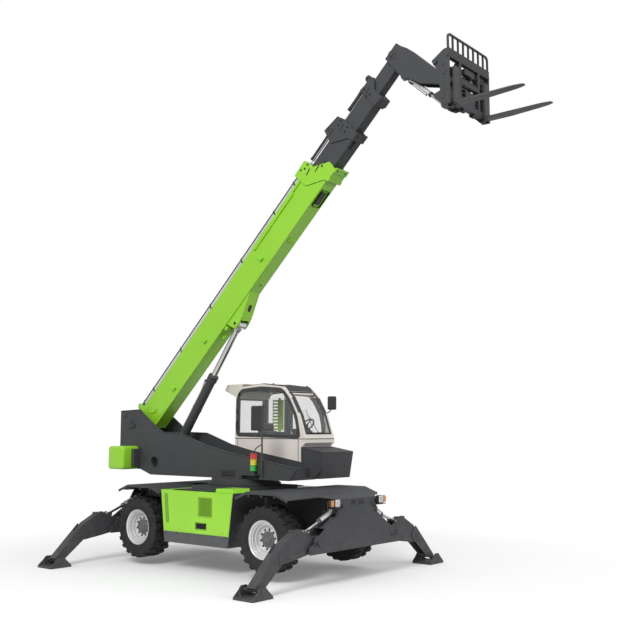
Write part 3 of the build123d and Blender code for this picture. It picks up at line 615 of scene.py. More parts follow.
# hood and tank cover
hood = {
    "wall": 1.2805, "skin": 0.004, "top": 1.445,
    "panel": [(-0.925, 1.425), (0.925, 1.425), (0.838, 0.712), (-0.838, 0.712)],
    "slot": ((-0.795, 1.345), (-0.745, 0.890)), "slotRadius": 0.036,
    "louvre": ((0.08, 0.43), (1.0, 1.345)), "slats": 26,
    "vent": ((0.015, 0.29), (0.772, 0.895)), "topGrille": ((-0.64, 0.43), (1.235, 0.80)),
    "lid": (0.468, 0.905, 1.512),
}
for side in eachSide():
    wall, skin, top = hood["wall"], hood["skin"], hood["top"]
    face = wall + skin
    name = "engine_hood" if side == "right" else "tank_cover"
    # the right side's small fittings lie flatter
    raised = (face - 0.004, face + 0.007) if side == "left" else (face - 0.007, face + 0.004)
    panels = bmesh.new()
    addPlate(panels, [(x, wall - overlap, z) for x, z in hood["panel"]], (0, skin + overlap, 0))
    (x0, x1), (z0, z1) = hood["louvre"]
    addFrame(panels, rectangle(1, face, *hood["louvre"]), 0.018, (0, 0.006, 0))
    half = (z1 - z0 - 0.04) / hood["slats"] / 2
    for z in spaced(z0 + 0.02 + half, z1 - 0.02 - half, hood["slats"]):
        addBox(panels, (x0 + 0.015, x1 - 0.015), (face - 0.003, face + 0.003),
               (z - 0.0028, z + 0.0028), Matrix.Rotation(0.7 * flip.y, 4, "X"))
    addPiece(name + "_panel", panels, limePaint, "chassis", 0.0025)
    mesh = bmesh.new()
    addBox(mesh, (x0 + 0.016, x1 - 0.016), (wall, face), (z0 + 0.016, z1 - 0.016))
    addPiece(name + "_mesh", mesh, blackPlastic, "chassis")
    # a long grip recess with round ends: its rim stands a little proud
    r = hood["slotRadius"]
    tall = [(x + turned * r * cos(a), z + turned * r * sin(a))
            for turned, (x, z) in zip((1, -1), hood["slot"]) for a in spaced(0, pi, 11)]
    grip, gripFloor = bmesh.new(), bmesh.new()
    addFrame(grip, [(x, face, z) for x, z in tall], 0.011, (0, 0.007, 0))
    addPiece(name + "_grip_rim", grip, limePaint, "chassis", 0.003)
    # the recess floor is a darker lime: painted shade inside the grip
    addPlate(gripFloor, [(x, wall + skin * 0.9, z) for x, z in tall], (0, 0.001, 0))
    addPiece(name + "_grip_floor", gripFloor, shadedLime, "chassis")
    vent = bmesh.new()
    (x0, x1), (z0, z1) = hood["vent"]
    addFrame(vent, rectangle(1, face, *hood["vent"]), 0.012, (0, 0.008, 0))
    # the plate behind the slats, a touch proud of the left skin
    addBox(vent, (x0 + 0.01, x1 - 0.01), (wall, face + (0.00008 if flip.y > 0 else 0)),
           (z0 + 0.01, z1 - 0.01))
    for z in spaced(z0 + 0.018, z1 - 0.018, 7):
        addBox(vent, (x0 + 0.012, x1 - 0.012), (face - 0.006, face + 0.006),
               (z - 0.003, z + 0.003), Matrix.Rotation(0.6 * flip.y, 4, "X"))
    for x in spaced(x0, x1, 5)[1:4]:
        addBox(vent, (x - 0.004, x + 0.004), raised, (z0 + 0.012, z1 - 0.012))
    addPiece(name + "_vent", vent, blackPlastic, "chassis", 0.001)
    fixings = bmesh.new()
    for x in (-0.80, -0.50, -0.17, 0.17, 0.50, 0.80):
        addBolt(fixings, (x * 0.98, wall, 0.672), (0, 1, 0), 0.010)
    addPiece(name + "_fixings", fixings, darkPaint, "chassis")
    latches = bmesh.new()
    for x in (-0.44, 0.70):
        addBox(latches, (x - 0.030, x + 0.030), raised, (0.745, 0.775))
        addRod(latches, (x - 0.012, wall, 0.76), (x - 0.012, wall + 0.016, 0.76), 0.011, 20)
    for x in (-0.62, 0.0, 0.62):
        addRod(latches, (x - 0.04, wall + 0.003, 1.434), (x + 0.04, wall + 0.003, 1.434), 0.006, 14)
    addPiece(name + "_latches", latches, limePaint, "chassis", 0.002)
    # the louvred top, beside the deck
    louvres = bmesh.new()
    (x0, x1), (y0, y1) = hood["topGrille"]
    addFrame(louvres, rectangle(2, top, *hood["topGrille"]), 0.02, (0, 0, 0.012))
    for x in spaced(x0 + 0.03, x1 - 0.03, 22):
        addBox(louvres, (x - 0.013, x + 0.013), (y0 - 0.018, y1 + 0.018),
               (top + 0.004, top + 0.007), Matrix.Rotation(0.5, 4, "Y"))
    addPiece(name + "_louvres", louvres, darkPaint, "chassis", 0.001)
    if side == "right":
        # raised lid in front of the louvres
        lid = bmesh.new()
        x0, x1, z1 = hood["lid"]
        addPlate(lid, [(x0, 1.245, top - 0.002), (x1, 1.245, top - 0.002),
                       (x1 - 0.012, 1.238, z1), (x0 + 0.012, 1.238, z1)], (0, -0.44, 0))
        addPiece(name + "_lid", lid, limePaint, "chassis", 0.012, 3)
fuel = bmesh.new()
addRod(fuel, (-0.62, 1.28, 1.18), (-0.62, 1.315, 1.18), 0.055, 32)
addRod(fuel, (-0.62, 1.315, 1.18), (-0.62, 1.335, 1.18), 0.048, 32, 0.042)
addBox(fuel, (-0.665, -0.575), (1.333, 1.345), (1.17, 1.19))
addPiece("fuel_cap", fuel, blackPlastic, "chassis", 0.002)
print("hoods made")


# deck, mudguards, lamps and stabiliser boxes
deck = {
    "line": [(1.0, 1.39), (1.27, 1.495), (1.93, 1.495), (2.21, 1.39)],
    "edge": 1.28, "lip": 0.035, "ribs": (1.30, 1.60, 1.90),
    # of each end: how far along and how far inboard and down the lamps stand, and the main lamp's lens
    "lamps": {"front": (2.715, 0, 0, clearLens), "rear": (2.665, 0.36, 0.25, redLens)},
    "plate": 2.7075,
    # boss places on the stabiliser box: across, up and radius
    "bosses": ((1.03, 0.73, 0.055), (0.54, 1.175, 0.042)),
}
for end in eachEnd():
    x, shift, drop, mainLens = deck["lamps"][end]
    for side in eachSide():
        corner = end + "_" + side
        # folded edge along the mudguard's outside
        lip = bmesh.new()
        inner, outer = deck["edge"] - 0.006, deck["edge"] + 0.0005
        for (xa, za), (xb, zb) in zip(deck["line"], deck["line"][1:]):
            drops = ((xa, za - 0.010), (xb, zb - 0.010), (xb, zb - 0.012 - deck["lip"]),
                     (xa, za - 0.012 - deck["lip"]))
            addPlate(lip, [(px, inner, pz) for px, pz in drops], (0, outer - inner, 0))
        for rib in deck["ribs"]:
            addBox(lip, (rib - 0.02, rib + 0.02), (0.45, 1.26), (1.405, 1.483))
        addPiece(corner + "_mudguard_lip", lip, darkPaint, "chassis", 0.002)
        # raised tread pattern to stand on
        grip = bmesh.new()
        for row in range(5):
            for column in range(9):
                turn = Matrix.Rotation(0.78 if (row + column) % 2 else -0.78, 4, "Z")
                px, py = 1.33 + column * 0.066, 0.60 + row * 0.12
                addBox(grip, (px - 0.022, px + 0.022), (py - 0.006, py + 0.006), (1.4945, 1.4985), turn)
        addPiece(corner + "_deck_grip", grip, darkPaint, "chassis", 0.001, 1)
        # lamp pair on its bracket
        bracket = bmesh.new()
        near, far = 0.43 - shift, 0.80 - shift
        low, high = 1.250 - drop, 1.372 - drop
        addBox(bracket, (x - 0.04, x + 0.030), (near, far), (low - 0.012, low))
        addBox(bracket, (x - 0.04, x - 0.03), (near, far), (low - 0.012, high))
        addPlate(bracket, [(x - 0.03, near, low), (x + 0.03, near, low), (x - 0.03, near, high)],
                 (0, 0.008, 0))
        addPiece(corner + "_lamp_bracket", bracket, darkPaint, "chassis", 0.002)
        # turn signal outside, a rounder and taller main lamp inside
        for name, finish, y0, y1, z0, z1, reach in (
                ("signal", orangeLens, 0.700, 0.795, 1.268, 1.388, 0.040),
                ("main", mainLens, 0.560, 0.690, 1.262, 1.398, 0.052)):
            y0, y1, z0, z1, front = y0 - shift, y1 - shift, z0 - drop, z1 - drop, x + reach
            housing, lens = bmesh.new(), bmesh.new()
            addBox(housing, (x - 0.03, front), (y0, y1), (z0, z1))
            addPiece(corner + "_" + name + "_housing", housing, blackPlastic, "chassis", 0.022, 4)
            addBox(lens, (front - 0.02, front + 0.012), (y0 + 0.008, y1 - 0.008), (z0 + 0.008, z1 - 0.008))
            addPiece(corner + "_" + name + "_lamp", lens, finish, "chassis", 0.015, 4)
        reflector = bmesh.new()
        for inner, outer in ((0.044, 0.050), (0.012, 0.018)):
            addRing(reflector, (x + 0.0635, 0.625 - shift, 1.33 - drop), (1, 0, 0),
                    [(0, inner), (0.004, inner), (0.004, outer), (0, outer)], 32)
        addPiece(corner + "_lamp_reflector", reflector, zincSteel, "chassis")
    # bolts and bosses of the stabiliser box
    face = deck["plate"]
    bolts, bosses = bmesh.new(), bmesh.new()
    for side in eachSide():
        # clusters of bolts at the middle and beside the arm
        for y, z in ((0.11, 1.315), (1.13, 0.70)):
            for dy, dz in ((-0.035, 0.022), (0.035, 0.022), (-0.035, -0.022), (0.045, -0.022)):
                addBolt(bolts, (face - overlap, y + dy, z + dz), (1, 0, 0))
        for y, z, radius in deck["bosses"]:
            for plate, out in ((face, 1), (2.4165, -1)):
                addBoss(bosses, (plate - out * overlap, y, z), (out, 0, 0), 40,
                        (0.010, radius * 0.42), (0.015, radius * 0.5), (0.015, radius * 0.92),
                        (0.009, radius), (0, radius))
            addBox(bosses, (face, face + 0.013), (y - 0.012, y + 0.012),
                   (z - radius * 1.5, z - radius * 0.85))
            addBolt(bosses, (face + 0.010, y, z - radius * 1.3), (1, 0, 0), 0.009)
    addPiece(end + "_box_bolts", bolts, blackPlastic, "chassis")
    addPiece(end + "_box_bosses", bosses, darkPaint, "chassis", 0.0015)
    # closes the gap between the deck's edge and the plate below it
    sill = bmesh.new()
    addBox(sill, (2.650, 2.705), (-0.72, 0.72), (1.335, 1.380))
    addPiece(end + "_deck_sill", sill, darkPaint, "chassis", 0.002)
plate = bmesh.new()
addBox(plate, (-2.716, -2.708), (-0.26, 0.26), (0.79, 0.90))
addPiece("blank_plate", plate, trimPlastic, "chassis", 0.004)
print("deck and lamps made")

# stabilisers; u runs from the knee to the ankle, v square to it
stabiliser = {
    "x": 2.562, "armHalf": 0.075, "legHalf": 0.092, "knee": (1.93, 0.555), "ankle": (2.45, 0.13),
    "ramTop": (0.54, 1.175), "ramEye": (1.25, 0.90), "padHalf": 0.210,
    "armBosses": ((1.25, 0.90, 0.046), (1.03, 0.73, 0.078)),
    "armHoles": ((1.65, 0.725, 0.019), (1.844, 0.572, 0.011), (1.40, 0.83, 0.012)),
    "armBolts": ((1.36, 0.885), (1.50, 0.885), (1.14, 0.79)),
    "channel": [(1.29, 0.585), (1.86, 0.492), (1.86, 0.516), (1.29, 0.617)],
}


def across(y, z, dx=0.0):
    return Vector((stabiliser["x"] + dx, y, z))


(kneeY, kneeZ), (ankleY, ankleZ) = stabiliser["knee"], stabiliser["ankle"]
shin = Vector((0, ankleY - kneeY, ankleZ - kneeZ))
along, shinLength = shin.normalized(), shin.length
square = Vector((0, -along.z, along.y))
ramTop, ramEye = across(*stabiliser["ramTop"]), across(*stabiliser["ramEye"])
ramLine = (ramEye - ramTop).normalized()
rise = Vector((0, -ramLine.z, ramLine.y))


def onLeg(u, v, dx=0.0):
    return across(kneeY, kneeZ, dx) + along * u + square * v


for corner in eachCorner():
    armDetail, armDark, legDetail, legDark, padDetail = [bmesh.new() for mesh in range(5)]
    eye, pinEnds = bmesh.new(), bmesh.new()
    for face in (-1, 1):
        out = (face, 0, 0)
        skin = face * stabiliser["armHalf"]
        sunk = skin - face * 0.002
        for y, z, radius in stabiliser["armBosses"]:
            addRing(armDetail, across(y, z, sunk), out,
                    [(0, radius * 0.35), (0.010, radius * 0.35), (0.010, radius * 0.9),
                     (0.006, radius), (0, radius)], 36)
        # sunk channel along the arm's lower edge, with its weld line above
        # the channel is a darker strip standing proud: painted shade for its hollow
        addPlate(armDark, [across(y, z, skin - face * overlap) for y, z in stabiliser["channel"]],
                 (face * 0.0025, 0, 0))
        addRod(armDetail, across(1.27, 0.626, skin), across(1.87, 0.526, skin), 0.005, 10)
        # the holes are darker discs: painted shade inside them
        for y, z, radius in stabiliser["armHoles"]:
            addBoss(armDark, across(y, z, sunk), out, 24, (0.003, radius), (0, radius))
        for y, z in stabiliser["armBolts"]:
            addBolt(armDetail, across(y, z, skin - face * overlap), out, 0.010)
        addRod(eye, ramEye + Vector((face * 0.028, 0, 0)), ramEye + Vector((face * 0.034, 0, 0)),
               0.020, 6)
        addRod(pinEnds, ramEye + Vector((skin + face * 0.006, 0, 0)),
               ramEye + Vector((skin + face * 0.014, 0, 0)), 0.013, 20)

        skin = face * stabiliser["legHalf"]
        sunk = skin - face * 0.002
        # a black disc: painted shade in the leg's hole
        addBoss(legDark, across(1.96, 0.475, sunk), out, 24, (0.0035, 0.021), (0, 0.021))
        addBoss(legDetail, onLeg(0, 0, sunk), out, 40,
                (0.006, 0.036), (0.003, 0.040), (0, 0.040))
        addRing(legDetail, onLeg(shinLength, 0, sunk), out,
                [(0, 0.026), (0.008, 0.026), (0.008, 0.046), (0, 0.046)], 36)
        # pressed line along the leg
        addRod(legDetail, onLeg(0.10, 0.085, sunk), onLeg(shinLength - 0.06, 0.028, sunk), 0.004, 8)
        for u, v in ((0.02, 0.095), (0.34, -0.075)):
            addBolt(legDetail, onLeg(u, v, skin - face * overlap), out, 0.009)

        addBoss(padDetail, across(ankleY, ankleZ, face * (stabiliser["padHalf"] - overlap)), out, 36,
                (0.014, 0.018), (0.009, 0.024), (0.009, 0.040), (0, 0.044))
        for y in (-0.13, 0.13):
            # gussets inside the lugs
            addPlate(padDetail, [across(ankleY + y, 0.036, face * 0.105),
                                 across(ankleY + y, 0.036, face * 0.189),
                                 across(ankleY + y * 0.8, 0.105, face * 0.189)], (0, 0.010, 0))
            addBolt(padDetail, across(ankleY + y * 1.25, 0.037, face * 0.14), (0, 0, 1), 0.010)
    # hose guard on the arm's back
    for y in (1.40, 1.56):
        addBox(armDetail, (2.512, 2.612), (y, y + 0.03), (0.905, 0.955))
    # cover strip on the leg's back, with its screws
    addPlate(legDetail, [onLeg(0.06, 0.1215, -0.055), onLeg(0.06, 0.1215, 0.055),
                         onLeg(0.50, 0.0805, 0.055), onLeg(0.50, 0.0805, -0.055)], square * 0.006)
    for u, v in ((0.09, 0.124), (0.47, 0.089)):
        addBolt(legDetail, onLeg(u, v), square, 0.009)
    for reach in (-0.214, 0.204):
        addBox(padDetail, (2.377, 2.747), (ankleY + reach, ankleY + reach + 0.010), (0.036, 0.050))
    gland = bmesh.new()
    addRing(gland, ramTop + ramLine * 0.346, ramLine,
            [(0, 0.041), (0, 0.048), (0.040, 0.048), (0.045, 0.044), (0.0505, 0.040),
             (0.0505, 0.027), (0.046, 0.027), (0.046, 0.041)], 40)
    for u in (0.085, 0.315):
        addRod(gland, ramTop + ramLine * u + rise * 0.030, ramTop + ramLine * u + rise * 0.060, 0.013, 6)
    addRod(gland, ramTop + ramLine * 0.085 + rise * 0.052, ramTop + ramLine * 0.315 + rise * 0.052,
           0.0065, 12)
    # the inner nuts go with the rod's eye and the outer ones with the arm
    for name, mesh, finish, body, bevel in (
            ("arm_plates", armDetail, darkPaint, "arm", 0.0015),
            ("arm_recesses", armDark, castPaint, "arm", 0),
            ("leg_plates", legDetail, darkPaint, "leg", 0.0015),
            ("leg_holes", legDark, blackPlastic, "leg", 0),
            ("pad_ribs", padDetail, darkPaint, "pad", 0.002),
            ("ram_gland", gland, darkPaint, "ram_barrel", 0),
            ("ram_eye_nuts", eye, zincSteel, "ram_rod", 0), ("ram_pin_ends", pinEnds, zincSteel, "arm", 0)):
        addPiece(corner + "_" + name, mesh, finish, corner + "_" + body, bevel)
print("stabilisers made")

# axles
axle = {"x": 1.642, "z": 0.70}
for end in eachEnd():
    x, z = axle["x"], axle["z"]
    fittings = bmesh.new()
    addBoltRing(fittings, (x - 0.188, 0, z), (-1, 0, 0), 0.075, 8, 0.012)
    addRod(fittings, (x - 0.18, 0, z), (x - 0.34, 0, z), 0.045, 24)
    addRod(fittings, (x - 0.30, 0, z), (x - 0.36, 0, z), 0.075, 24)
    for side in eachSide():
        addRod(fittings, (x, 0.26, z), (x, 0.31, z), 0.125, 32, 0.112)
        addBoltRing(fittings, (x, 0.308, z), (0, 1, 0), 0.104, 10, 0.010)
        # the lug is longer towards the machine's rear at both ends
        low, high = (0.07, 0.17) if flip.x > 0 else (0.09, 0.19)
        addBox(fittings, (x + low, x + high), (0.18, 0.22), (0.63, 0.70))
    addRod(fittings, (x + 0.16, -0.27, 0.66), (x + 0.16, 0.27, 0.66), 0.038, 28)
    addPiece(end + "_axle_fittings", fittings, castPaint, "chassis", 0.002)
# slew ring with its bolts and teeth
slewRing = bmesh.new()
addBoltRing(slewRing, (0, 0, 1.5605), (0, 0, 1), 0.660, 48, 0.011)
for step in range(96):
    tooth = addBox(slewRing, (0.672, 0.695), (-0.011, 0.011), (1.512, 1.552))
    bmesh.ops.rotate(slewRing, matrix=Matrix.Rotation(2 * pi * step / 96, 3, "Z"), verts=tooth)
addPiece("slew_ring_teeth", slewRing, castPaint, "chassis")
print("axles and slew ring made")


# turret plates
turret = {
    "face": 0.370, "pivot": (-2.976, 2.733), "upperPin": (-3.215, 2.86), "foot": (-2.224, 1.908),
    "slot": (-0.235, 0.055, 1.70, 0.046), "slotMark": 1.75,
    "bolts": [(-3.20, 2.05, 0.014), (-1.2, 1.80, 0.014), (0.75, 1.75, 0.014), (1.05, 1.80, 0.011),
              (1.20, 1.80, 0.011), (1.35, 1.80, 0.011)],
    "topLine": [(-3.342, 2.955), (-2.723, 2.977), (-2.590, 2.873), (-2.121, 2.571), (-1.980, 2.504),
                (-1.465, 2.491), (-0.736, 2.260), (-0.180, 2.143), (1.60, 1.869)],
}


def alongLine(line):
    # each run's two ends and its direction, for a line given as (x, z)
    points = [Vector((x, 0, z)) for x, z in line]
    return [(a, b, (b - a).normalized()) for a, b in zip(points, points[1:])]


plateRings, plateBolts, slotDark, rearTail, weight, neck = [bmesh.new() for mesh in range(6)]
(px, pz), (ux, uz), (fx, fz) = turret["pivot"], turret["upperPin"], turret["foot"]
x0, x1, z, r = turret["slot"]
low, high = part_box("counterweight")
for side in eachSide():
    face, out = turret["face"], (0, 1, 0)
    sunk = face - overlap
    addRing(plateRings, (px, sunk, pz), out,
            [(0, 0.062), (0.014, 0.062), (0.014, 0.128), (0.006, 0.138), (0, 0.138)], 56)
    addBoss(plateRings, (px, sunk, pz), out, 40, (0.024, 0.044), (0.019, 0.050), (0.0, 0.050))
    addRod(slotDark, (px, face, pz), (px, face + 0.026, pz), 0.033, 6)
    # keeper plate across the pin, with its two bolts
    addBox(plateRings, (px - 0.10, px + 0.10), (face + 0.020, face + 0.032), (pz - 0.135, pz - 0.062))
    for dx in (-0.07, 0.07):
        addBolt(plateBolts, (px + dx, face + 0.031, pz - 0.10), out, 0.013)
    addBoltRing(plateBolts, (px, face + 0.012, pz), out, 0.110, 8, 0.009, 0.5)
    addBoss(plateRings, (ux, sunk, uz), out, 36,
            (0.022, 0.034), (0.012, 0.042), (0.012, 0.058), (0, 0.060))
    addRing(plateRings, (fx, sunk, fz), out,
            [(0, 0.1055), (0.010, 0.1055), (0.010, 0.122), (0, 0.124)], 56)
    addRing(plateRings, (fx - 0.33, sunk, fz + 0.09), out,
            [(0, 0.012), (0.012, 0.012), (0.012, 0.030), (0, 0.032)], 28)
    # rolled rims above and below the long slot
    for dz in (-r - 0.004, r + 0.004):
        addRod(plateRings, (x0, face + 0.002, z + dz), (x1, face + 0.002, z + dz), 0.005, 10)
    # the long slot is a black plate: painted shade inside the opening
    outline = [(x + turned * r * cos(a), turret["slotMark"] + turned * r * sin(a))
               for x, turned in ((x1, 1), (x0, -1)) for a in spaced(-pi / 2, pi / 2, 11)]
    addPlate(slotDark, [(x, face, z) for x, z in outline], (0, 0.002, 0))
    # a flange along the plate's sloping top
    for a, b, slope in alongLine(turret["topLine"]):
        lift = Vector((-slope.z, 0, slope.x)) * 0.006
        edge = Vector((0, face + 0.012, 0))
        addPlate(plateRings, [a - lift + edge, b - lift + edge, b + lift + edge, a + lift + edge],
                 (0, -0.042, 0))
    for x, z1, size in turret["bolts"]:
        addBolt(plateBolts, (x, sunk, z1), out, size)
    addBox(rearTail, (-3.262, -3.248), (0.44, 0.54), (2.00, 2.14))
    # a rounded casting in place of each plain counterweight, and its neck
    block = addBox(weight, (low[0] + 0.001, high[0] - 0.001), (0.3705, high[1] - 0.001),
                   (low[2] + 0.001, high[2] - 0.001))
    edges = [e for e in {e for v in block for e in v.link_edges}
             if not all(abs(v.co.y) < 0.38 for v in e.verts)]
    bmesh.ops.bevel(weight, geom=edges, offset=0.058, offset_type="OFFSET", segments=5,
                    profile=0.5, affect="EDGES", material=-1)
    addBox(neck, (-2.80, -2.66), (0.368, 0.55), (1.80, 2.16))
    for z1 in (1.86, 2.10):
        addBolt(neck, (-2.715, 0.549, z1), out, 0.014)
# lifting eye
addRing(plateRings, (-3.288, 0, 2.915), (0, 1, 0),
        [(-0.015, 0.030), (0.015, 0.030), (0.015, 0.055), (-0.015, 0.055)], 32)
addPiece("turret_slots", slotDark, blackPlastic, "turret")
addPiece("turret_bosses", plateRings, darkPaint, "turret", 0.002)
addPiece("turret_bolts", plateBolts, darkPaint, "turret")
addPiece("rear_lamps", rearTail, redLens, "turret", 0.010, 3)
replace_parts(addPiece("rounded_counterweights", weight, limePaint, "turret", 0.004), "counterweight")
addPiece("counterweight_necks", neck, darkPaint, "turret", 0.008)
frontBox = bmesh.new()
addFrame(frontBox, [(1.13, 0.3695, 1.69), (1.53, 0.3695, 1.69), (1.61, 0.3695, 2.12),
                    (1.13, 0.3695, 2.20)], 0.012, (0, -0.004, 0))
addBoxes(frontBox, (1.596, 1.612, 0.52, 0.58, 1.86, 1.90), (1.596, 1.612, 1.07, 1.13, 1.86, 1.90))
addPiece("front_housing_seams", frontBox, darkPaint, "turret", 0.002)

# stack light and mirrors beside the boom
stack = {
    "x": 0.62, "y": -0.42, "base": 1.80, "step": 0.108, "radius": 0.066,
    "lights": (("green", greenLens), ("yellow", yellowLens), ("red", redLens)),
}
x, y, r = stack["x"], stack["y"], stack["radius"]
foot = bmesh.new()
addBox(foot, (0.28, 0.74), (-0.50, -0.368), (1.715, 1.727))
for gusset in (0.34, 0.66):
    addPlate(foot, [(gusset, -0.371, 1.727), (gusset, -0.49, 1.715), (gusset, -0.371, 1.66)],
             (0.008, 0, 0))
addRod(foot, (x, y, 1.727), (x, y, stack["base"]), 0.045, 28)
addPiece("stack_bracket", foot, darkPaint, "turret", 0.002)
for level, (name, finish) in enumerate(stack["lights"]):
    ring = bmesh.new()
    addRing(ring, (x, y, stack["base"] + level * stack["step"]), (0, 0, 1),
            [(0, poleRadius), (0, r), (0.008, r), (0.012, r * 0.93), (0.088, r * 0.93), (0.092, r),
             (0.100, r), (0.104, r * 0.9), (0.108, r * 0.9), (0.108, poleRadius)], 36)
    addPiece("stack_" + name, ring, finish, "turret")
cap = bmesh.new()
addRod(cap, (x, y, 2.124), (x, y, 2.14), 0.064, 28, 0.054)
addPiece("stack_cap", cap, blackPlastic, "turret", 0.003)
addPipe("mirror_stay", [(0.835, y, 1.72), (0.833, y, 2.0), (0.830, y, 2.5), (0.826, y, 2.93),
                        (0.822, y, 2.985), (0.76, y, 2.99)], 0.016, darkPaint, "turret")
addPipe("stack_stay", [(0.830, y, 2.29), (0.76, y, 2.262), (0.68, y, 2.215), (0.635, y, 2.16),
                       (0.63, y, 2.125)], 0.010, darkPaint, "turret")
addPipe("far_mirror_stay", [(0.93, 1.275, 2.86), (0.95, 1.33, 2.88), (1.0, 1.385, 2.92),
                            (1.02, 1.40, 3.0), (1.02, 1.40, 3.15)], 0.011, darkPaint, "turret")
mirrorTurn = Matrix.Rotation(0.45, 3, "Z")
for name, x, y, z0, z1, w in (("near_mirror", 0.705, -0.42, 2.54, 3.00, 0.118),
                              ("far_mirror", 1.03, 1.40, 2.95, 3.22, 0.088)):
    for part, finish, inset, y0, y1, bevel in (("_shell", blackPlastic, 0, -0.035, 0.035, 0.028),
                                               ("_pane", mirrorGlass, 0.018, 0.0345, 0.0375, 0.02)):
        mesh = bmesh.new()
        block = addBox(mesh, (x - w + inset, x + w - inset), (y + y0, y + y1), (z0 + inset, z1 - inset))
        bmesh.ops.rotate(mesh, cent=(x, y, z0), matrix=mirrorTurn, verts=block)
        addPiece(name + part, mesh, finish, "turret", bevel, 4)
print("turret made")

# cab
cab = {
    "roof": [(-0.56, 3.417), (0.055, 3.457), (0.600, 3.393)],
    "window": [(-0.648, 2.425), (1.068, 2.390), (0.985, 2.82), (0.785, 3.17), (0.60, 3.365),
               (0.06, 3.412), (-0.53, 3.372), (-0.648, 3.20)],
    "opening": [(-0.578, 2.490), (0.985, 2.452), (0.915, 2.80), (0.735, 3.115), (0.575, 3.300),
                (0.055, 3.352), (-0.505, 3.312), (-0.578, 3.180)],
    "quarter": [(-0.59, 2.48), (-0.09, 2.48), (-0.09, 3.338), (-0.51, 3.31), (-0.59, 3.19)],
    "doorWindow": [(0.07, 2.48), (0.89, 2.48), (0.88, 2.64), (0.83, 2.84), (0.66, 3.11),
                   (0.53, 3.235), (0.07, 3.279)],
    "screen": [(1.155, 2.47), (1.025, 2.836), (0.82, 3.182), (0.71, 3.292)],
}


def roundedLine(corners, radius, steps=5):
    # each corner becomes an arc of a quadratic curve
    line = []
    for before, corner, after in zip(corners[-1:] + corners[:-1], corners, corners[1:] + corners[:1]):
        corner = Vector(corner)
        start = corner + (Vector(before) - corner).normalized() * radius
        stop = corner + (Vector(after) - corner).normalized() * radius
        for t in spaced(0, 1, steps + 1):
            line.append(tuple(start * (1 - t) ** 2 + corner * 2 * t * (1 - t) + stop * t * t))
    return line


def bridgeLoops(mesh, loops):
    # four-sided faces between each loop of points and the next
    for a, b in zip(loops, loops[1:]):
        for k in range(len(a)):
            mesh.faces.new((a[k - 1], a[k], b[k], b[k - 1]))


def addRoundedFrame(mesh, outer, inner, radius, y0, y1):
    # a band between two lines with the same number of corners
    loops = [[mesh.verts.new((x, y, z)) for x, z in roundedLine(corners, radius)]
             for corners, y in ((outer, y0), (inner, y0), (inner, y1), (outer, y1))]
    bridgeLoops(mesh, loops + loops[:1])


def towardCentre(corners, share):
    cx, cz = [sum(values) / len(corners) for values in zip(*corners)]
    return [(x + (cx - x) * share, z + (cz - z) * share) for x, z in corners]


seals, doorSeal = bmesh.new(), bmesh.new()
addRoundedFrame(seals, cab["window"], cab["opening"], 0.10, 0.402, 0.394)
addRoundedFrame(seals, cab["quarter"], towardCentre(cab["quarter"], 0.07), 0.05, 1.279, 1.286)
runs = alongLine(cab["screen"])
for y, inner in ((0.450, 0.525), (1.225, 1.165)):
    for number, (a, b, slope) in enumerate(runs):
        out = Vector((slope.z, 0, -slope.x)) * 0.008
        outside, inside = Vector((0, y, 0)), Vector((0, inner, 0))
        addPlate(seals, [a + outside, b + outside, b + inside, a + inside], out)
        # bands across the windscreen's foot and top
        for here, edge, step in ((number == 0, a, slope), (b is runs[-1][1], b, -slope)):
            if here:
                right, left = Vector((0, 0.49, 0)), Vector((0, 1.19, 0))
                addPlate(seals, [edge + right, edge + left, edge + step * 0.03 + left,
                                 edge + step * 0.03 + right], out)
addFrame(seals, [(-0.671, 0.49, 2.50), (-0.671, 1.19, 2.50), (-0.667, 1.19, 3.15),
                 (-0.667, 0.49, 3.15)], 0.028, (-0.008, 0, 0))
addPiece("window_seals", seals, sealRubber, "turret", 0.002)
addRoundedFrame(doorSeal, cab["doorWindow"], towardCentre(cab["doorWindow"], 0.06), 0.05, 1.279, 1.286)
addPiece("door_seal", doorSeal, sealRubber, "cab_door", 0.002)

# trim line round the waist, and the lower panel's seams
trim = bmesh.new()
addBoxes(trim, (-0.674, 1.18, 0.396, 0.400, 2.379, 2.391), (-0.674, -0.03, 1.280, 1.284, 2.379, 2.391),
         (1.176, 1.186, 0.41, 1.27, 2.379, 2.391), (-0.680, -0.672, 0.41, 1.27, 2.379, 2.391),
         (1.0, 1.012, 0.396, 0.400, 1.72, 2.379), (-0.60, -0.592, 0.396, 0.400, 1.72, 2.379))
addPiece("cab_trim_lines", trim, sealRubber, "turret")
# dark roof shell over the beige frame: side rails, rear sheet, front bar and front slope
roof = bmesh.new()
(xa, za), (xb, zb), (xc, zc) = cab["roof"]
rails = [(a, b, y0, y1, (0, 0, 0.016)) for a, b in zip(cab["roof"], cab["roof"][1:])
         for y0, y1 in ((0.46, 0.53), (1.15, 1.22))]
for (x0, z0), (x1, z1), y0, y1, push in rails + [
        ((xa, za), (0.0, 3.4535), 0.53, 1.15, (0, 0, 0.016)),
        ((0.50, 3.4045), (xc, zc), 0.53, 1.15, (0, 0, 0.016)),
        ((0.605, 3.396), (0.70, 3.303), 0.47, 1.21, (0.008, 0, 0.008))]:
    addPlate(roof, [(x0, y0, z0), (x1, y0, z1), (x1, y1, z1), (x0, y1, z0)], push)
addPiece("roof_shell", roof, darkPaint, "turret", 0.006, 3)
visor = bmesh.new()
addPlate(visor, [(x, 0.43, z) for x, z in (
    (-0.50, 3.478), (-0.944, 3.472), (-1.015, 3.353), (-0.700, 3.215), (-0.662, 3.165),
    (-0.655, 3.215), (-0.555, 3.414))], (0, 0.82, 0))
addPiece("rear_visor", visor, cabPaint, "turret", 0.014, 3)
knobs = bmesh.new()
for x, y, z in ((0.30, 0.47, 3.432), (0.58, 1.16, 3.396)):
    # small fixings on the roof
    addRod(knobs, (x, y, z - 0.008), (x, y, z + 0.022), 0.010, 14)
    addRod(knobs, (x, y, z + 0.018), (x, y, z + 0.034), 0.019, 20)
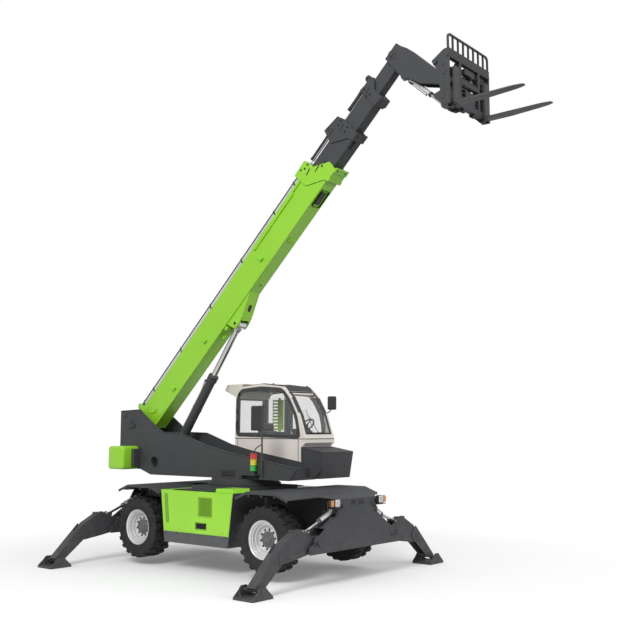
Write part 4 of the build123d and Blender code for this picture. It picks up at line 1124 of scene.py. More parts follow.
for x, z in ((-0.615, 2.92), (-0.72, 2.22)):
    addRod(knobs, (x, 0.398, z), (x, 0.372, z), 0.022, 20)
addPiece("cab_fixings", knobs, blackPlastic, "turret", 0.003)
for name, x, radius, points in (
        ("window_handle", -0.600, 0.010, ((0.395, 2.56), (0.365, 2.56), (0.352, 2.60), (0.352, 2.70),
                                          (0.365, 2.74), (0.395, 2.74))),
        ("door_grab", 0.965, 0.013, ((1.279, 2.02), (1.325, 2.02), (1.335, 2.08), (1.335, 2.50),
                                     (1.325, 2.56), (1.279, 2.56)))):
    addPipe(name, [(x, y, z) for y, z in points], radius, blackPlastic, "turret")
handle = bmesh.new()
addBoxes(handle, (0.74, 0.90, 1.279, 1.290, 2.28, 2.34), (0.76, 0.86, 1.300, 1.310, 2.295, 2.325))
addRod(handle, (0.77, 1.285, 2.31), (0.77, 1.305, 2.31), 0.008, 14)
addRod(handle, (0.88, 1.285, 2.31), (0.88, 1.300, 2.31), 0.014, 20)
addPiece("door_handle", handle, blackPlastic, "cab_door", 0.004, 3)
doorPanel = bmesh.new()
addFrame(doorPanel, [(x, 1.280, z) for x, z in (
    (0.07, 1.86), (0.76, 1.86), (0.90, 2.0), (0.90, 2.40), (0.07, 2.40))], 0.02, (0, 0.005, 0))
addPiece("door_pressing", doorPanel, cabPaint, "cab_door", 0.004, 3)
# wiper on the windscreen
wiper = bmesh.new()
addRod(wiper, (1.155, 0.80, 2.49), (1.185, 0.80, 2.50), 0.016, 20)
addRod(wiper, (1.178, 0.80, 2.495), (1.070, 0.66, 2.80), 0.006, 12)
addRod(wiper, (1.132, 0.675, 2.59), (0.985, 0.645, 2.94), 0.0055, 10)
addPiece("windscreen_wiper", wiper, blackPlastic, "turret")
# slotted guard beside the cab's left rear pane: solid in front, slots behind; its lime is painted brighter,
# a painted light on a part that sits in the cab's shadow
guard = bmesh.new()
addBoxes(guard, (-0.335, -0.175, 1.300, 1.312, 2.55, 3.17), (-0.475, -0.460, 1.300, 1.312, 2.55, 3.17),
         (-0.30, -0.24, 1.279, 1.312, 2.498, 2.56), (-0.30, -0.24, 1.279, 1.312, 3.148, 3.21),
         *[(-0.465, -0.33, 1.300, 1.312, 2.55 + step * 0.065, 2.586 + step * 0.065) for step in range(10)])
addPiece("slotted_guard", guard, brightLime, "turret", 0.003)
print("cab outside made")

# cab inside
floorTop = 1.7305
mat = bmesh.new()
addBoxes(mat, (-0.60, 1.02, 0.455, 1.225, floorTop, floorTop + 0.008),
         *[(0.15, 0.62, 0.478 + step * 0.054, 0.502 + step * 0.054, floorTop + 0.007, floorTop + 0.012)
           for step in range(14)])
addPiece("floor_mat", mat, sealRubber, "turret", 0.002)
lining = bmesh.new()
addPlate(lining, [(-0.585, 0.455, 3.335), (0.0, 0.455, 3.392), (0.0, 1.225, 3.392),
                  (-0.585, 1.225, 3.335)], (0, 0, -0.012))
addPlate(lining, rectangle(0, -0.605, (0.46, 1.22), (1.76, 2.46)), (0.012, 0, 0))
addPlate(lining, [(-0.58, 0.452, 1.76), (0.98, 0.452, 1.76), (1.02, 0.452, 2.42),
                  (-0.58, 0.452, 2.42)], (0, 0.010, 0))
addPiece("cab_lining", lining, trimPlastic, "turret", 0.004)
desk = bmesh.new()
addPlate(desk, [(0.70, 0.47, 2.27), (1.06, 0.47, 2.36), (1.09, 0.47, 2.42), (0.86, 0.47, 2.42),
                (0.70, 0.47, 2.33)], (0, 0.28, 0))
addBoxes(desk, (-0.13, 0.35, 0.468, 0.585, 2.16, 2.24), (0.27, 0.35, 0.475, 0.575, 1.74, 2.17))
addBox(desk, (0.78, 0.79), (0.50, 0.72), (2.43, 2.58), Matrix.Rotation(-0.3, 4, "Y"))
for y in (0.62, 0.80, 0.98):
    addBox(desk, (0.86, 0.92), (y - 0.045, y + 0.045), (1.79, 1.80), Matrix.Rotation(-0.7, 4, "Y"))
    addRod(desk, (0.93, y, 1.74), (0.90, y, 1.795), 0.010, 12)
addPiece("dashboard", desk, blackPlastic, "turret", 0.012, 3)
sticks = bmesh.new()
for x, y, z in ((0.27, 0.525, 2.24), (0.27, 1.135, 2.26)):
    # boot, stem and grip
    for x0, z0, x1, z1, radius, count, endRadius in (
            (0, 0, 0.01, 0.035, 0.026, 24, 0.014), (0.01, 0.03, 0.018, 0.10, 0.012, 16, 0.017),
            (0.018, 0.095, 0.022, 0.135, 0.020, 20, 0.013)):
        addRod(sticks, (x + x0, y, z + z0), (x + x1, y, z + z1), radius, count, endRadius)
addPiece("joysticks", sticks, blackPlastic, "turret", 0.002)

wheelHub, wheelLean = Vector((0.83, 0.84, 2.6303)), Vector((-0.7, 0, 0.71)).normalized()
steering = bmesh.new()
addRing(steering, wheelHub, wheelLean,
        [(cos(a) * 0.0135, 0.180 + sin(a) * 0.0135) for a in spaced(0, 2 * pi, 13)[:12]], 72)
for step in range(3):
    spoke = Matrix.Rotation(2 * pi * step / 3 + 0.5, 3, wheelLean) @ Vector((0, 1, 0))
    addRod(steering, wheelHub + spoke * 0.03, wheelHub + spoke * 0.172, 0.013, 12, 0.009)
addRing(steering, wheelHub - wheelLean * 0.012, wheelLean,
        [(0, poleRadius), (0, 0.052), (0.014, 0.048), (0.022, 0.036), (0.024, poleRadius)], 36)
knob = wheelHub + Matrix.Rotation(1.2, 3, wheelLean) @ Vector((0, 0.178, 0))
addRod(steering, knob, knob + wheelLean * 0.045, 0.010, 14)
addRod(steering, knob + wheelLean * 0.040, knob + wheelLean * 0.062, 0.021, 24, 0.014)
addRod(steering, wheelHub - wheelLean * 0.17, wheelHub - wheelLean * 0.01, 0.024, 24)
addPlate(steering, [(x, 0.76, z) for x, z in (
    (0.805, 1.731), (0.990, 1.731), (0.950, 2.44), (0.930, 2.535), (0.870, 2.500))], (0, 0.16, 0))
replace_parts(addPiece("steering_column", steering, blackPlastic, "turret", 0.004), "steering_console")

seat = {
    "fill": 0.8, "voxel": 0.012, "steps": 13, "channels": (-0.3, 0.0, 0.3), "channelWidth": 0.012,
    # each pad's room, backward lean and crown
    "pads": {
        "seat_cushion": ((-0.08, 0.40), (0.61, 1.07), (2.06, 2.165), 0.0, 0.014),
        "seat_backrest": ((-0.165, -0.065), (0.625, 1.055), (2.185, 2.545), -0.12, 0.012),
        "seat_headrest": ((-0.205, -0.125), (0.70, 0.98), (2.555, 2.69), -0.10, 0.008),
    },
}


def paddedBlock(name, x, y, z, lean, crown):
    # a crowned pad: a soft box, rounded, puffed by cloth pressure and creased along its edge
    mesh = bmesh.new()
    addBox(mesh, x, y, z)
    bmesh.ops.bevel(mesh, geom=list(mesh.edges), offset=0.026, offset_type="OFFSET", segments=3,
                    profile=0.5, affect="EDGES", material=-1)
    data = bpy.data.meshes.new(name)
    mesh.to_mesh(data)
    mesh.free()
    pad = linkObject(name, data)
    remesh = pad.modifiers.new("remesh", "REMESH")
    remesh.mode = "VOXEL"
    remesh.voxel_size = seat["voxel"]
    cloth = pad.modifiers.new("cloth", "CLOTH")
    cloth.settings.use_pressure = True
    cloth.settings.uniform_pressure_force = 4
    cloth.settings.effector_weights.gravity = 0
    cloth.settings.quality = 5
    for step in range(1, seat["steps"]):
        scene.frame_set(step)
    puffed = bpy.data.meshes.new_from_object(
        pad.evaluated_get(bpy.context.evaluated_depsgraph_get()))
    pad.modifiers.clear()
    pad.data = puffed
    soft = bmesh.new()
    soft.from_mesh(puffed)
    cx, cy, cz = (sum(x) / 2, sum(y) / 2, sum(z) / 2)
    width = seat["channelWidth"]
    for vert in soft.verts:
        # nothing swells past its room by more than the crown
        for axis, (low, high) in enumerate((x, y, z)):
            vert.co[axis] = min(max(vert.co[axis], low - crown), high + crown)
        for channel in seat["channels"]:
            away = abs(vert.co.y - cy - channel * (y[1] - y[0]))
            if away < width:
                vert.co.z -= (width - away) * 0.4 * (1 if vert.co.z > cz else -1)
    bmesh.ops.smooth_vert(soft, verts=soft.verts, factor=0.5, use_axis_x=True, use_axis_y=True,
                          use_axis_z=True)
    bmesh.ops.rotate(soft, cent=(cx, cy, z[0]), matrix=Matrix.Rotation(lean, 3, "Y"),
                     verts=soft.verts)
    soft.to_mesh(puffed)
    soft.free()
    puffed.materials.clear()
    puffed.materials.append(seatCloth)
    puffed.shade_smooth()
    finer = pad.modifiers.new("finer", "SUBSURF")
    finer.levels = finer.render_levels = 1
    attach(pad, "turret")
    return pad


seatBase = bmesh.new()
addBoxes(seatBase, (-0.07, 0.37, 0.62, 1.06, floorTop, floorTop + 0.05),
         (-0.08, 0.38, 0.61, 1.07, floorTop + 0.275, floorTop + 0.325))
for step in range(6):
    # the bellows' folds step in and out
    z, fold = floorTop + 0.065 + step * 0.036, 0.006 * (step % 2)
    addBox(seatBase, (-0.04 + fold, 0.34 - fold), (0.65 + fold, 1.03 - fold), (z - 0.014, z + 0.014))
shell = addBox(seatBase, (-0.218, -0.175), (0.62, 1.06), (2.19, 2.66))
bmesh.ops.rotate(seatBase, cent=(-0.15, 0.84, 2.19), matrix=Matrix.Rotation(-0.12, 3, "Y"), verts=shell)
for y, reach in ((0.600, -0.02), (1.080, 0.02)):
    addRod(seatBase, (-0.11, y, 2.20), (-0.11, y + reach, 2.20), 0.045, 28)
addPiece("seat_suspension", seatBase, blackPlastic, "turret", 0.010, 3)
pads = {name: paddedBlock(name, *values) for name, values in seat["pads"].items()}
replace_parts(pads["seat_cushion"], "seat")
print("cab inside made")


# boom: u runs along it and v across it; pipes, brackets, collar bolts and window
boom = {
    "halfWidth": {"boom_base": 0.160, "boom_second": 0.135, "boom_third": 0.110},
    "pipes": (0.38, 6.34), "pipeRadius": 0.019, "clamps": (0.36, 0.76, 1.9, 3.1, 4.3, 5.5, 6.2),
    "brackets": [(1.217, -0.219), (2.514, -0.180), (4.654, -0.168)],
    "bolts": {
        "boom_base": [(6.673, 0.153), (6.577, 0.156), (6.949, -0.152), (6.861, -0.150)],
        "boom_second": [(7.703, 0.107), (7.611, 0.102), (7.708, -0.100), (7.615, -0.105)],
        "boom_third": [(8.407, 0.096), (8.327, 0.097), (8.412, -0.076), (8.345, -0.034)],
    },
    "slits": {
        "boom_base": [((6.655, 0.057), (6.516, 0.035)), ((6.833, -0.080), (6.688, -0.093))],
        "boom_second": [((7.465, 0.241), (7.403, 0.237)), ((7.491, 0.149), (7.360, 0.150)),
                        ((7.703, 0.011), (7.548, -0.005))],
        "boom_third": [((8.50, 0.02), (8.37, 0.012))],
    },
    "eyes": {"boom_base": (6.50, 0.215), "boom_second": (7.43, 0.262), "boom_third": (8.40, 0.125)},
    "rods": {"boom_second": (6.76, 7.33, 0.225, 6.70), "boom_third": (7.92, 8.32, 0.160, 7.75)},
    "window": (6.16, 6.52, 0.062), "underside": -0.420,
}
for name, half in boom["halfWidth"].items():
    face, out = half + 0.020, (0, 1, 0)
    bolts, slits = bmesh.new(), bmesh.new()
    for side in eachSide():
        for u, v in boom["bolts"][name]:
            addBolt(bolts, boomPoint(u, v, face), out, 0.018)
        # the slits are dark rods: painted shade inside the collar's slots
        for (ua, va), (ub, vb) in boom["slits"][name]:
            addRod(slits, boomPoint(ua, va, face - 0.004), boomPoint(ub, vb, face - 0.004), 0.014, 10)
        # welded eye on the collar's top lobe
        addRing(slits, boomPoint(*boom["eyes"][name], face - overlap), out,
                [(0, 0.012), (0.006, 0.012), (0.006, 0.022), (0, 0.024)], 28)
    addPiece(name + "_collar_bolts", bolts, blackPlastic, name)
    addPiece(name + "_collar_slots", slits, shadedDark, name)

baseParts, baseDark = bmesh.new(), bmesh.new()
wall = boom["halfWidth"]["boom_base"]
for side in eachSide():
    for u, v in boom["brackets"]:
        # folded bracket: a long leg across the boom, a short foot along it
        addBoomBoxes(baseParts, (u - 0.012, u + 0.012, v - 0.075, v + 0.060, wall, wall + 0.040),
                     (u - 0.012, u + 0.075, v - 0.082, v - 0.060, wall, wall + 0.040))
    # long stiffener along the top edge, and the seam of the rear plate
    for thick, outline in (
            (0.024, ((4.67, 0.128), (4.67, 0.070), (4.70, 0.040), (6.05, 0.040), (6.09, 0.070),
                     (6.33, 0.070), (6.33, 0.128))),
            (0.007, ((0.30, 0.120), (0.78, 0.120), (1.02, -0.05), (1.02, -0.20), (0.80, -0.40),
                     (0.30, -0.33)))):
        addPlate(baseParts, [boomPoint(u, v, wall - overlap) for u, v in outline], (0, thick, 0))
    addRing(baseParts, boomPoint(0, 0, 0.1655), out,
            [(-0.006, 0.056), (0.010, 0.056), (0.010, 0.085), (-0.006, 0.092)], 48)
    # outside of the lift cylinder's lug: boss, keeper and its bolt
    eye = boomPoint(3.333, -0.575, 0.1395)
    addRing(baseParts, eye, out, [(0, 0.030), (0.012, 0.030), (0.012, 0.066), (0, 0.072)], 40)
    addRod(baseDark, eye, eye + Vector((0, 0.014, 0)), 0.030, 24)
    addBolt(baseDark, eye + Vector((0, 0.013, 0)), out, 0.012)
    # lug at the boom's rear top corner, and a bent weld below it
    addRing(baseParts, (-2.95, 0.165, 3.053), out,
            [(0, 0.020), (0.020, 0.020), (0.020, 0.062), (0, 0.062)], 36)
    addPlate(baseParts, [(x, 0.165, z) for x, z in (
        (-2.99, 3.01), (-2.90, 3.09), (-2.70, 3.05), (-2.70, 2.80), (-2.93, 2.80))], (0, 0.018, 0))
    addPipe("boom_rear_weld" + side, [(x, 0.172, z) for x, z in (
        (-2.66, 2.935), (-2.56, 2.905), (-2.46, 2.93), (-2.43, 2.985))], 0.012, limePaint, "boom_base")
low, under = boom["underside"], Vector(boomTurn @ Vector((0, 0, -1)))


def acrossBoom(ua, va, ub, vb, half):
    # the four corners of a band across the boom
    return [boomPoint(ua, va, half), boomPoint(ub, vb, half), boomPoint(ub, vb, -half),
            boomPoint(ua, va, -half)]


# closing plate in front of the lug, following its slope, with an oval hole
for band in ((4.05, low, 3.56, -0.615), (3.565, -0.617, 3.475, -0.652)):
    addPlate(baseParts, acrossBoom(*band, 0.110), boomTurn @ Vector((0.004, 0, 0.010)))
slope = (boomPoint(4.05, low) - boomPoint(3.56, -0.615)).normalized() * 0.030
down = boomTurn @ Vector((0.34, 0, -0.94))
hole, halfHole = boomPoint(3.722, -0.5495), Vector((0, 0.044, 0))
# the oval hole is filled in black: painted shade inside it
for end in (hole - slope, hole + slope):
    addRod(baseDark, end, end + down * 0.004, 0.044, 28)
addPlate(baseDark, [hole - slope + halfHole, hole + slope + halfHole, hole + slope - halfHole,
                    hole - slope - halfHole], down * 0.003)
# doubler on the underside, with a round end, a boss ring and a stop further up
outline = [(4.04, 0.135), *[(4.50 + 0.135 * sin(a), 0.135 * cos(a)) for a in spaced(0, pi, 15)],
           (4.04, -0.135)]
addPlate(baseParts, [boomPoint(u, low, y) for u, y in outline], under * 0.009)
addRing(baseParts, boomPoint(4.23, low - 0.008), under,
        [(0, 0.024), (0.018, 0.024), (0.018, 0.050), (0, 0.054)], 32)
# a black disc in the ring: painted shade in its bore
addRod(baseDark, boomPoint(4.23, low - 0.008), boomPoint(4.23, low - 0.012), 0.024, 24)
# guides of the lug's rear, below the boom
for u, v, y in ((3.10, -0.455, -0.09), (3.10, -0.455, 0.09), (2.86, -0.445, 0)):
    addRod(baseParts, boomPoint(u, v, y - 0.05), boomPoint(u, v, y + 0.05), 0.045, 28)
# service window near the front of the underside
u0, u1, w = boom["window"]
addFrame(baseParts, acrossBoom(u0, low, u1, low, w + 0.04), 0.055, under * 0.030)
# the window is a black plate: painted shade inside the opening
addPlate(baseDark, acrossBoom(u0 + 0.04, low, u1 - 0.04, low, w), under * 0.004)
# the stop, and bands under the collars' front edges
addBoomBoxes(baseParts, (5.325, 5.350, low - 0.035, low, -0.085, 0.085),
             (5.345, 5.400, low - 0.012, low, -0.085, 0.085),
             (6.925, 7.035, -0.478, -0.448, -0.186, 0.186), (6.735, 6.80, -0.478, -0.453, -0.186, 0.186))
for y in (-0.11, 0.11):
    addBolt(baseDark, boomPoint(6.98, -0.477, y), under, 0.013)
addPiece("boom_base_fittings", baseParts, limePaint, "boom_base", 0.003)
addPiece("boom_base_dark_fittings", baseDark, blackPlastic, "boom_base")

pipes, paintedShadePipe, clamps = bmesh.new(), bmesh.new(), bmesh.new()
start, stop = boom["pipes"]
farPipes = ((0.157, -0.135), (0.200, -0.120), (0.243, -0.105))
for v, y in (*farPipes, (0.157, 0.135)):
    # the outermost pipe is black: painted shade for the dark line along the pipe strip
    row = paintedShadePipe if v > 0.24 else pipes
    addRod(row, boomPoint(start, v, y), boomPoint(stop, v, y), boom["pipeRadius"], 20)
    addRod(row, boomPoint(start + 0.02, v, y), boomPoint(start - 0.03, v, y), 0.025, 6)
addPiece("boom_pipes", pipes, silverPaint, "boom_base")
addPiece("boom_outer_pipe", paintedShadePipe, blackPlastic, "boom_base")
for u in boom["clamps"]:
    addBoomBoxes(clamps, *[(u - 0.022, u + 0.022, 0.128, v, y0, y1) for v, y0, y1 in (
        (0.272, -0.112, -0.098), (0.140, -0.158, -0.070), (0.182, 0.112, 0.158))])
    for v, y in farPipes:
        addRod(clamps, boomPoint(u - 0.018, v, y), boomPoint(u + 0.018, v, y), 0.0235, 20)
addPiece("boom_pipe_clamps", clamps, castPaint, "boom_base", 0.0015)
for number, (y, drop) in enumerate(((-0.105, 0.243), (-0.120, 0.200), (0.135, 0.157))):
    # hoses from the pipes' rear ends down to the turret's floor, inside the plates
    addPipe("boom_hose_%d" % number, [boomPoint(u, v, y) for u, v in (
        (0.36, drop), (0.22, drop), (0.02, drop - 0.02), (-0.10, drop - 0.10), (-0.13, 0.02))],
        0.019, sealRubber, "boom_base")

# the pull rods that run over the middle sections, and each section's own stops
for name, (u0, u1, v, rear) in boom["rods"].items():
    bars, rods = bmesh.new(), bmesh.new()
    addRod(bars, boomPoint(u0, v, -0.060), boomPoint(u1, v, -0.060), 0.040, 24)
    for u in (u0 + 0.03, u1 - 0.03):
        addRod(bars, boomPoint(u - 0.03, v, -0.060), boomPoint(u + 0.03, v, -0.060), 0.046, 6)
    addPiece(name + "_pull_bar", bars, blackPlastic, name)
    near = 0.020 - boom["halfWidth"][name]
    addRod(rods, boomPoint(rear, v - 0.070, near), boomPoint(u1, v - 0.070, near), 0.010, 20)
    addPiece(name + "_pull_rod", rods, chromeRod, name)
stops, tips = bmesh.new(), bmesh.new()
addBoomBoxes(stops, (7.42, 7.60, -0.385, -0.349, -0.045, 0.045), (7.60, 7.77, -0.385, -0.372, -0.150, 0.150))
for y in (-0.09, 0.09):
    addBolt(stops, boomPoint(7.69, -0.384, y), under, 0.013)
addPiece("boom_second_stop", stops, blackPlastic, "boom_second", 0.0015)
addBoomBoxes(tips, (8.36, 8.52, -0.352, -0.340, -0.125, 0.125))
for y in (-0.07, 0.07):
    addBolt(tips, boomPoint(8.44, -0.351, y), under, 0.011)
# round eye on the collar's top, ahead of it
for y in (-0.085, 0.045):
    addRing(tips, boomPoint(8.585, 0.205, y), out,
            [(0, 0.020), (0.04, 0.020), (0.04, 0.062), (0, 0.062)], 36)
    addBoomBoxes(tips, (8.44, 8.60, 0.120, 0.185, y, y + 0.04))
addPiece("boom_third_stop", tips, castPaint, "boom_third", 0.0015)

# head: cross pin with its cover, plate seams, tilt pin and hose guide
head = {
    "half": 0.120, "disc": (3.603, 9.133), "anchor": (3.908, 8.654),
    "edge": [(4.525, 8.372), (4.186, 8.466), (4.030, 8.568), (3.960, 8.598), (3.850, 8.598)],
}
headParts, headBolts = bmesh.new(), bmesh.new()
face, (x, z), (ax, az) = head["half"], head["disc"], head["anchor"]
sunk = face - overlap
for side in eachSide():
    addBoss(headParts, (x, sunk, z), out, 44, (0.014, 0.050), (0.009, 0.056), (0.009, 0.078), (0, 0.080))
    addBox(headParts, (x - 0.032, x + 0.032), (face + 0.012, face + 0.026), (z - 0.032, z + 0.032),
           Matrix.Rotation(-0.75, 4, "Y"))
    addBoltRing(headBolts, (x, face + 0.007, z), out, 0.067, 6, 0.008, 0.25)
    addBox(headParts, (x, x + 0.11), (face, face + 0.012), (z - 0.071, z - 0.039),
           Matrix.Rotation(0.8, 4, "Y"))
    addBoss(headParts, (ax, sunk, az), out, 36, (0.010, 0.030), (0.006, 0.040), (0, 0.042))
    for spot in ((3.53, sunk, 8.98), (3.70, sunk, 8.80)):
        addBolt(headBolts, spot, out, 0.010)
    # lower edge strip that stiffens the plate
    for (xa, za), (xb, zb) in zip(head["edge"], head["edge"][1:]):
        addPlate(headParts, [(xa, face, za), (xb, face, zb), (xb, face, zb + 0.012),
                             (xa, face, za + 0.012)], (0, 0.006, 0))
addPiece("head_fittings", headParts, darkPaint, "boom_fly", 0.002)
addPiece("head_bolts", headBolts, castPaint, "boom_fly")
print("boom made")

# lift cylinder
lift = {
    "foot": Vector((-2.160, 0, 1.875)), "eye": Vector((-0.179, 0, 4.635)), "radius": 0.092,
    "rod": 0.060, "mouth": 2.175,
}


def addCrossTube(mesh, center, half, inner, outer, steps):
    # a pin's tube across a cylinder's end
    addRing(mesh, center - Vector((0, half, 0)), (0, 1, 0),
            [(0, inner), (2 * half, inner), (2 * half, outer), (0, outer)], steps)


line = (lift["eye"] - lift["foot"]).normalized()
rise = Vector((-line.z, 0, line.x))
r, rod, mouth = lift["radius"], lift["rod"], lift["mouth"]
tube, barrel, shaft, eyeParts = [bmesh.new() for mesh in range(4)]
addRing(tube, lift["foot"], line,
        [(0.06, poleRadius), (0.06, r), (mouth, r), (mouth, rod + 0.002), (mouth - 0.1, rod + 0.002),
         (mouth - 0.1, poleRadius)], 64)
addCrossTube(tube, lift["foot"], 0.112, 0.046, 0.115, 48)
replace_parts(addPiece("slim_lift_barrel", tube, darkPaint, "lift_barrel", 0.003), "lift_barrel")
addRing(barrel, lift["foot"] + line * (mouth - 0.132), line,
        [(0, r - 0.001), (0, r + 0.014), (0.034, r + 0.014), (0.040, r + 0.010), (0.046, r + 0.014),
         (0.120, r + 0.014), (0.136, r), (0.142, r - 0.012), (0.142, rod + 0.001),
         (0.133, rod + 0.001), (0.133, r - 0.001)], 56)
for along, rods in ((0.24, ((-0.012, 0.046, 0.032, 6), (0.040, 0.070, 0.022, 6))),
                    (1.96, ((-0.012, 0.046, 0.032, 6), (0.040, 0.070, 0.022, 6))),
                    (0.75, ((-0.004, 0.040, 0.018, 12),)), (1.35, ((-0.004, 0.040, 0.018, 12),))):
    # port blocks on the barrel, and two clips, all joined by its rigid pipe
    spot = lift["foot"] + line * along
    if len(rods) == 1:
        addRing(barrel, spot, line,
                [(-0.018, r - 0.001), (-0.018, r + 0.006), (0.018, r + 0.006), (0.018, r - 0.001)], 48)
    for inner, outer, radius, count in rods:
        addRod(barrel, spot + rise * (r + inner), spot + rise * (r + outer), radius, count)
addPiece("lift_cylinder_fittings", barrel, darkPaint, "lift_barrel", 0.002)
points = [lift["foot"] + line * along + rise * (r + away) for along, away in (
    (0.24, 0.060), (0.34, 0.060), (0.42, 0.036), (0.60, 0.033), (1.10, 0.033), (1.68, 0.033),
    (1.80, 0.036), (1.88, 0.060), (1.96, 0.060))]
addPipe("lift_cylinder_pipe", points, 0.013, zincSteel, "lift_barrel")
addRing(shaft, lift["eye"], line,
        [(-1.35, poleRadius), (-1.35, rod), (-0.05, rod), (-0.05, poleRadius)], 48)
addCrossTube(shaft, lift["eye"], 0.099, 0.046, 0.090, 44)
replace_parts(addPiece("slim_lift_rod", shaft, chromeRod, "lift_rod", 0.002), "lift_rod")
for side in eachSide():
    addRing(eyeParts, lift["eye"] + Vector((0, 0.0995, 0)), out,
            [(0, 0.050), (0.006, 0.050), (0.006, 0.092), (0, 0.098)], 40)
addRing(eyeParts, lift["eye"] - line * 0.120, line,
        [(-0.050, 0.0595), (-0.050, 0.070), (0.020, 0.086), (0.020, 0.0595)], 44)
addPiece("lift_rod_eye", eyeParts, zincSteel, "lift_rod", 0.002)

# tilt cylinder
tilt = {
    "anchor": Vector((3.908, 0, 8.654)), "eye": Vector((4.626, 0, 7.986)), "mouth": 0.600,
    "radius": 0.041, "bore": 0.0335,
}
line = (tilt["eye"] - tilt["anchor"]).normalized()
rise = Vector((line.z, 0, -line.x))
r, bore, mouth = tilt["radius"], tilt["bore"], tilt["mouth"]
tube, gland, eyeEnd = [bmesh.new() for mesh in range(3)]
addRing(tube, tilt["anchor"], line,
        [(0.02, poleRadius), (0.02, r), (mouth, r), (mouth, bore), (mouth - 0.05, bore),
         (mouth - 0.05, poleRadius)], 48)
addCrossTube(tube, tilt["anchor"], 0.050, 0.026, 0.052, 36)
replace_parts(addPiece("slim_tilt_barrel", tube, silverPaint, "tilt_barrel", 0.002), "tilt_barrel")
addRing(gland, tilt["anchor"] + line * (mouth - 0.040), line,
        [(0, 0.0405), (0, 0.049), (0.030, 0.049), (0.036, 0.046), (0.044, 0.040), (0.044, bore),
         (0.0405, bore), (0.0405, 0.0405)], 44)
ports = [tilt["anchor"] + line * along for along in (0.11, 0.50)]
for spot in ports:
    addRod(gland, spot + rise * 0.036, spot + rise * 0.066, 0.015, 6)
addRod(gland, ports[0] + rise * 0.060, ports[1] + rise * 0.060, 0.007, 14)
addPiece("tilt_cylinder_fittings", gland, darkPaint, "tilt_barrel", 0.0015)
for side in eachSide():
    addRod(eyeEnd, tilt["eye"] + Vector((0, 0.044, 0)), tilt["eye"] + Vector((0, 0.056, 0)),
           0.040, 28, 0.034)
addRing(eyeEnd, tilt["eye"] - line * 0.060, line,
        [(-0.045, 0.0315), (-0.045, 0.040), (0.015, 0.046), (0.015, 0.0315)], 32)
addPiece("tilt_rod_eye", eyeEnd, zincSteel, "tilt_rod", 0.0015)
print("cylinders made")

# carriage
carriage = {
    "half": 0.660, "knob": (4.832, 8.498), "hole": (4.985, 8.405), "hook": (4.985, 8.300),
    "rollers": (-0.50, -0.17, 0.17, 0.50), "posts": (-0.300, 0.300), "panel": (7.96, 8.34), "slots": 5,
}
cheeks, cheekHoles = bmesh.new(), bmesh.new()
face = carriage["half"]
sunk = face - overlap
(kx, kz), (hx, hz), (ox, oz) = carriage["knob"], carriage["hole"], carriage["hook"]
for side in eachSide():
    addBoss(cheeks, (kx, sunk, kz), out, 36, (0.030, 0.036), (0.022, 0.044), (0.0, 0.044))
    # a black disc and a black half ring: painted shade of the hole and of the arc round the hook
    addRod(cheekHoles, (hx, face, hz), (hx, face + 0.003, hz), 0.027, 28)
    addRing(cheekHoles, (ox, face - 0.0005, oz), out,
            [(0, 0.030), (0.004, 0.030), (0.004, 0.056), (0, 0.056)], 28, pi)
    # vertical doubling strip on the cheek, and the block that closes its foot
    addBoxes(cheeks, (4.915, 4.995, face, face + 0.006, 7.86, 8.22),
             (5.00, 5.092, face - 0.05, face + 0.004, 7.758, 7.80))
    for z in (8.10, 8.00):
        addBolt(cheeks, (5.05, sunk, z), out, 0.010)
    addRod(cheeks, (5.07, face, 8.56), (5.07, face + 0.016, 8.56), 0.022, 6)
    # inner lugs' bosses round the tilt pin
    addBoss(cheeks, (4.66, 0.1515, 8.38), out, 40, (0.012, 0.040), (0.006, 0.062), (0, 0.064))
addPiece("carriage_cheek_fittings", cheeks, darkPaint, "carriage", 0.002)
addPiece("carriage_holes", cheekHoles, blackPlastic, "carriage")

middle, louvres = bmesh.new(), bmesh.new()
low, high = carriage["panel"]
for left, right in ((-0.275, -0.02), (0.02, 0.275)):
    # a pressed panel with slots between its ribs
    addFrame(middle, rectangle(0, 5.025, (left, right), (low, high)), 0.026, (0.012, 0, 0))
    for z in spaced(low, high, carriage["slots"] + 1)[1:-1]:
        addBox(middle, (5.022, 5.040), (left + 0.01, right - 0.01), (z - 0.014, z + 0.014))
for left, right, slats in ((-0.270, -0.012, 6), (0.012, 0.270, 3)):
    # dark sheet between the posts, with folded slats
    addBox(louvres, (5.040, 5.046), (left, right), (7.88, 7.93 + slats * 0.062))
    for step in range(slats):
        z = 7.93 + step * 0.062
        addBox(louvres, (5.02, 5.088), (left + 0.02, right - 0.02), (z - 0.007, z + 0.007),
               Matrix.Rotation(0.5, 4, "Y"))
addPiece("carriage_louvres", louvres, blackPlastic, "carriage", 0.002)
for y in [post + offset for post in carriage["posts"] for offset in (-0.028, 0.028)]:
    addBox(middle, (4.985, 5.012), (y - 0.004, y + 0.004), (7.88, 8.53))
for y in (-0.46, 0.46):
    # slides of the fork positioner, on their bars
    addBoxes(middle, (4.985, 5.088, y - 0.055, y + 0.055, 8.085, 8.155),
             (4.985, 5.088, y - 0.040, y + 0.040, 8.27, 8.33))
for z in (8.12, 8.30):
    addRod(middle, (5.045, -0.632, z), (5.045, 0.632, z), 0.018, 20)
addPiece("carriage_inner_frame", middle, darkPaint, "carriage", 0.002)
shifter, shafts, rollers = [bmesh.new() for mesh in range(3)]
for y in (-0.33, 0.10):
    addRod(shifter, (4.965, y, 8.445), (4.965, y + 0.26, 8.445), 0.034, 28)
    addRod(shifter, (4.965, y + 0.255, 8.445), (4.965, y + 0.275, 8.445), 0.040, 28)
    addBox(shifter, (4.955, 5.012), (y + 0.01, y + 0.05), (8.425, 8.465))
addPiece("positioner_cylinders", shifter, blackPlastic, "carriage", 0.002)
for y, reach in ((-0.33, -0.27), (0.36, 0.27)):
    addRod(shafts, (4.965, y, 8.445), (4.965, y + reach, 8.445), 0.015, 20)
    addRod(shafts, (4.965, y + reach, 8.445), (4.965, y + reach * 0.93, 8.445), 0.024, 6)
addPiece("positioner_rods", shafts, chromeRod, "carriage")
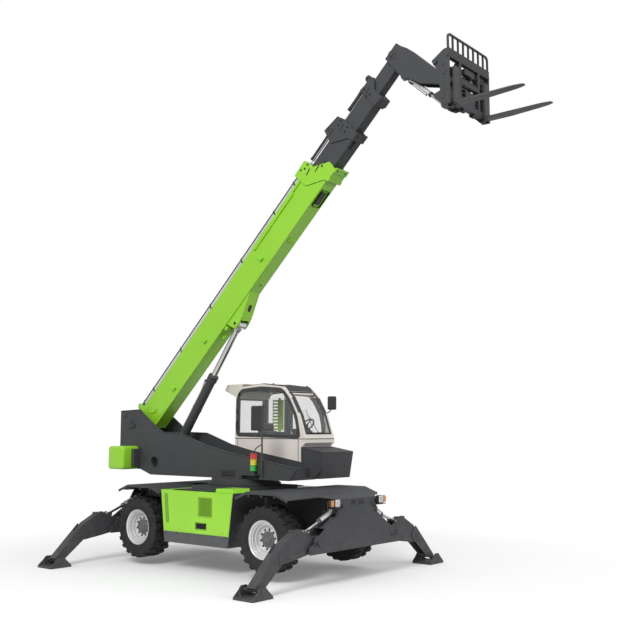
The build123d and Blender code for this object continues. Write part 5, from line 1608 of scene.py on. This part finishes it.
# rounded hooks below the lower beam
profile = [(4.985, 7.80), (5.085, 7.80), (5.085, 7.765),
           *[(5.035 + 0.05 * cos(a), 7.765 - 0.035 * sin(a)) for a in spaced(0, pi, 11)[1:-1]],
           (4.985, 7.765)]
for y in carriage["rollers"]:
    addPlate(rollers, [(x, y - 0.045, z) for x, z in profile], (0, 0.09, 0))
    addBolt(rollers, (5.011, y, 7.83), (-1, 0, 0), 0.013)
addPiece("carriage_hooks", rollers, darkPaint, "carriage", 0.006, 3)

# forks: a hooked shank, a heel bend and a blade that tapers both ways to a round tip
fork = {
    "y": 0.490, "width": 0.150, "face": 5.0905, "shank": 0.049, "top": 7.810, "thick": 0.050,
    "heel": 0.075, "inside": 0.030, "end": 6.309, "edge": 0.016, "shankTop": 8.390,
    "taper": 0.35, "narrowing": 0.80,
}
blades, hooks = bmesh.new(), bmesh.new()
y, back, top, thick = fork["y"], fork["face"], fork["top"], fork["thick"]
front, bend, small = back + fork["shank"], fork["heel"], fork["inside"]
# each row across the fork: its upper point, its lower point and its share of the width
rows = [((front, fork["shankTop"]), (back, fork["shankTop"]), 1)]
for a in spaced(0, pi / 2, 9):
    rows.append(((front + small - small * cos(a), top + small - small * sin(a)),
                 (back + bend - bend * cos(a), top - thick + bend - bend * sin(a)), 1))
for share in (0.35, 0.60, 0.80, 0.88, 0.93, 0.97, 0.99, 1.0):
    x = front + small + (fork["end"] - front - small) * share
    depth = thick + (fork["edge"] - thick) * (share - fork["taper"]) / (1 - fork["taper"])
    tip = max(0, (share - fork["narrowing"]) / (1 - fork["narrowing"]))
    rows.append(((x, top), (x, top - depth), 1 - 0.55 * tip ** 2.6))
for side in eachSide():
    loops = []
    for upper, lower, share in rows:
        w = fork["width"] / 2 * share - 0.0005
        loops.append([blades.verts.new(mirrored((x, y + across, z))) for (x, z), across in (
            (upper, -w), (upper, w), (lower, w), (lower, -w))])
    bridgeLoops(blades, loops)
    blades.faces.new(loops[0][::-1])
    blades.faces.new(loops[-1])
    # each shank hangs on the slides, behind the upper beam
    addBoxes(hooks, (5.088, 5.118, y - 0.060, y + 0.060, 7.765, 7.83),
             (5.030, 5.092, y - 0.050, y + 0.050, 8.29, 8.39))
    addRod(hooks, (5.060, y - 0.062, 8.34), (5.060, y + 0.062, 8.34), 0.022, 24)
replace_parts(addPiece("tapered_forks", blades, forgedSteel, "carriage", 0.0045, 3), "forks")
addPiece("fork_hooks", hooks, forgedSteel, "carriage", 0.004)
print("carriage made")
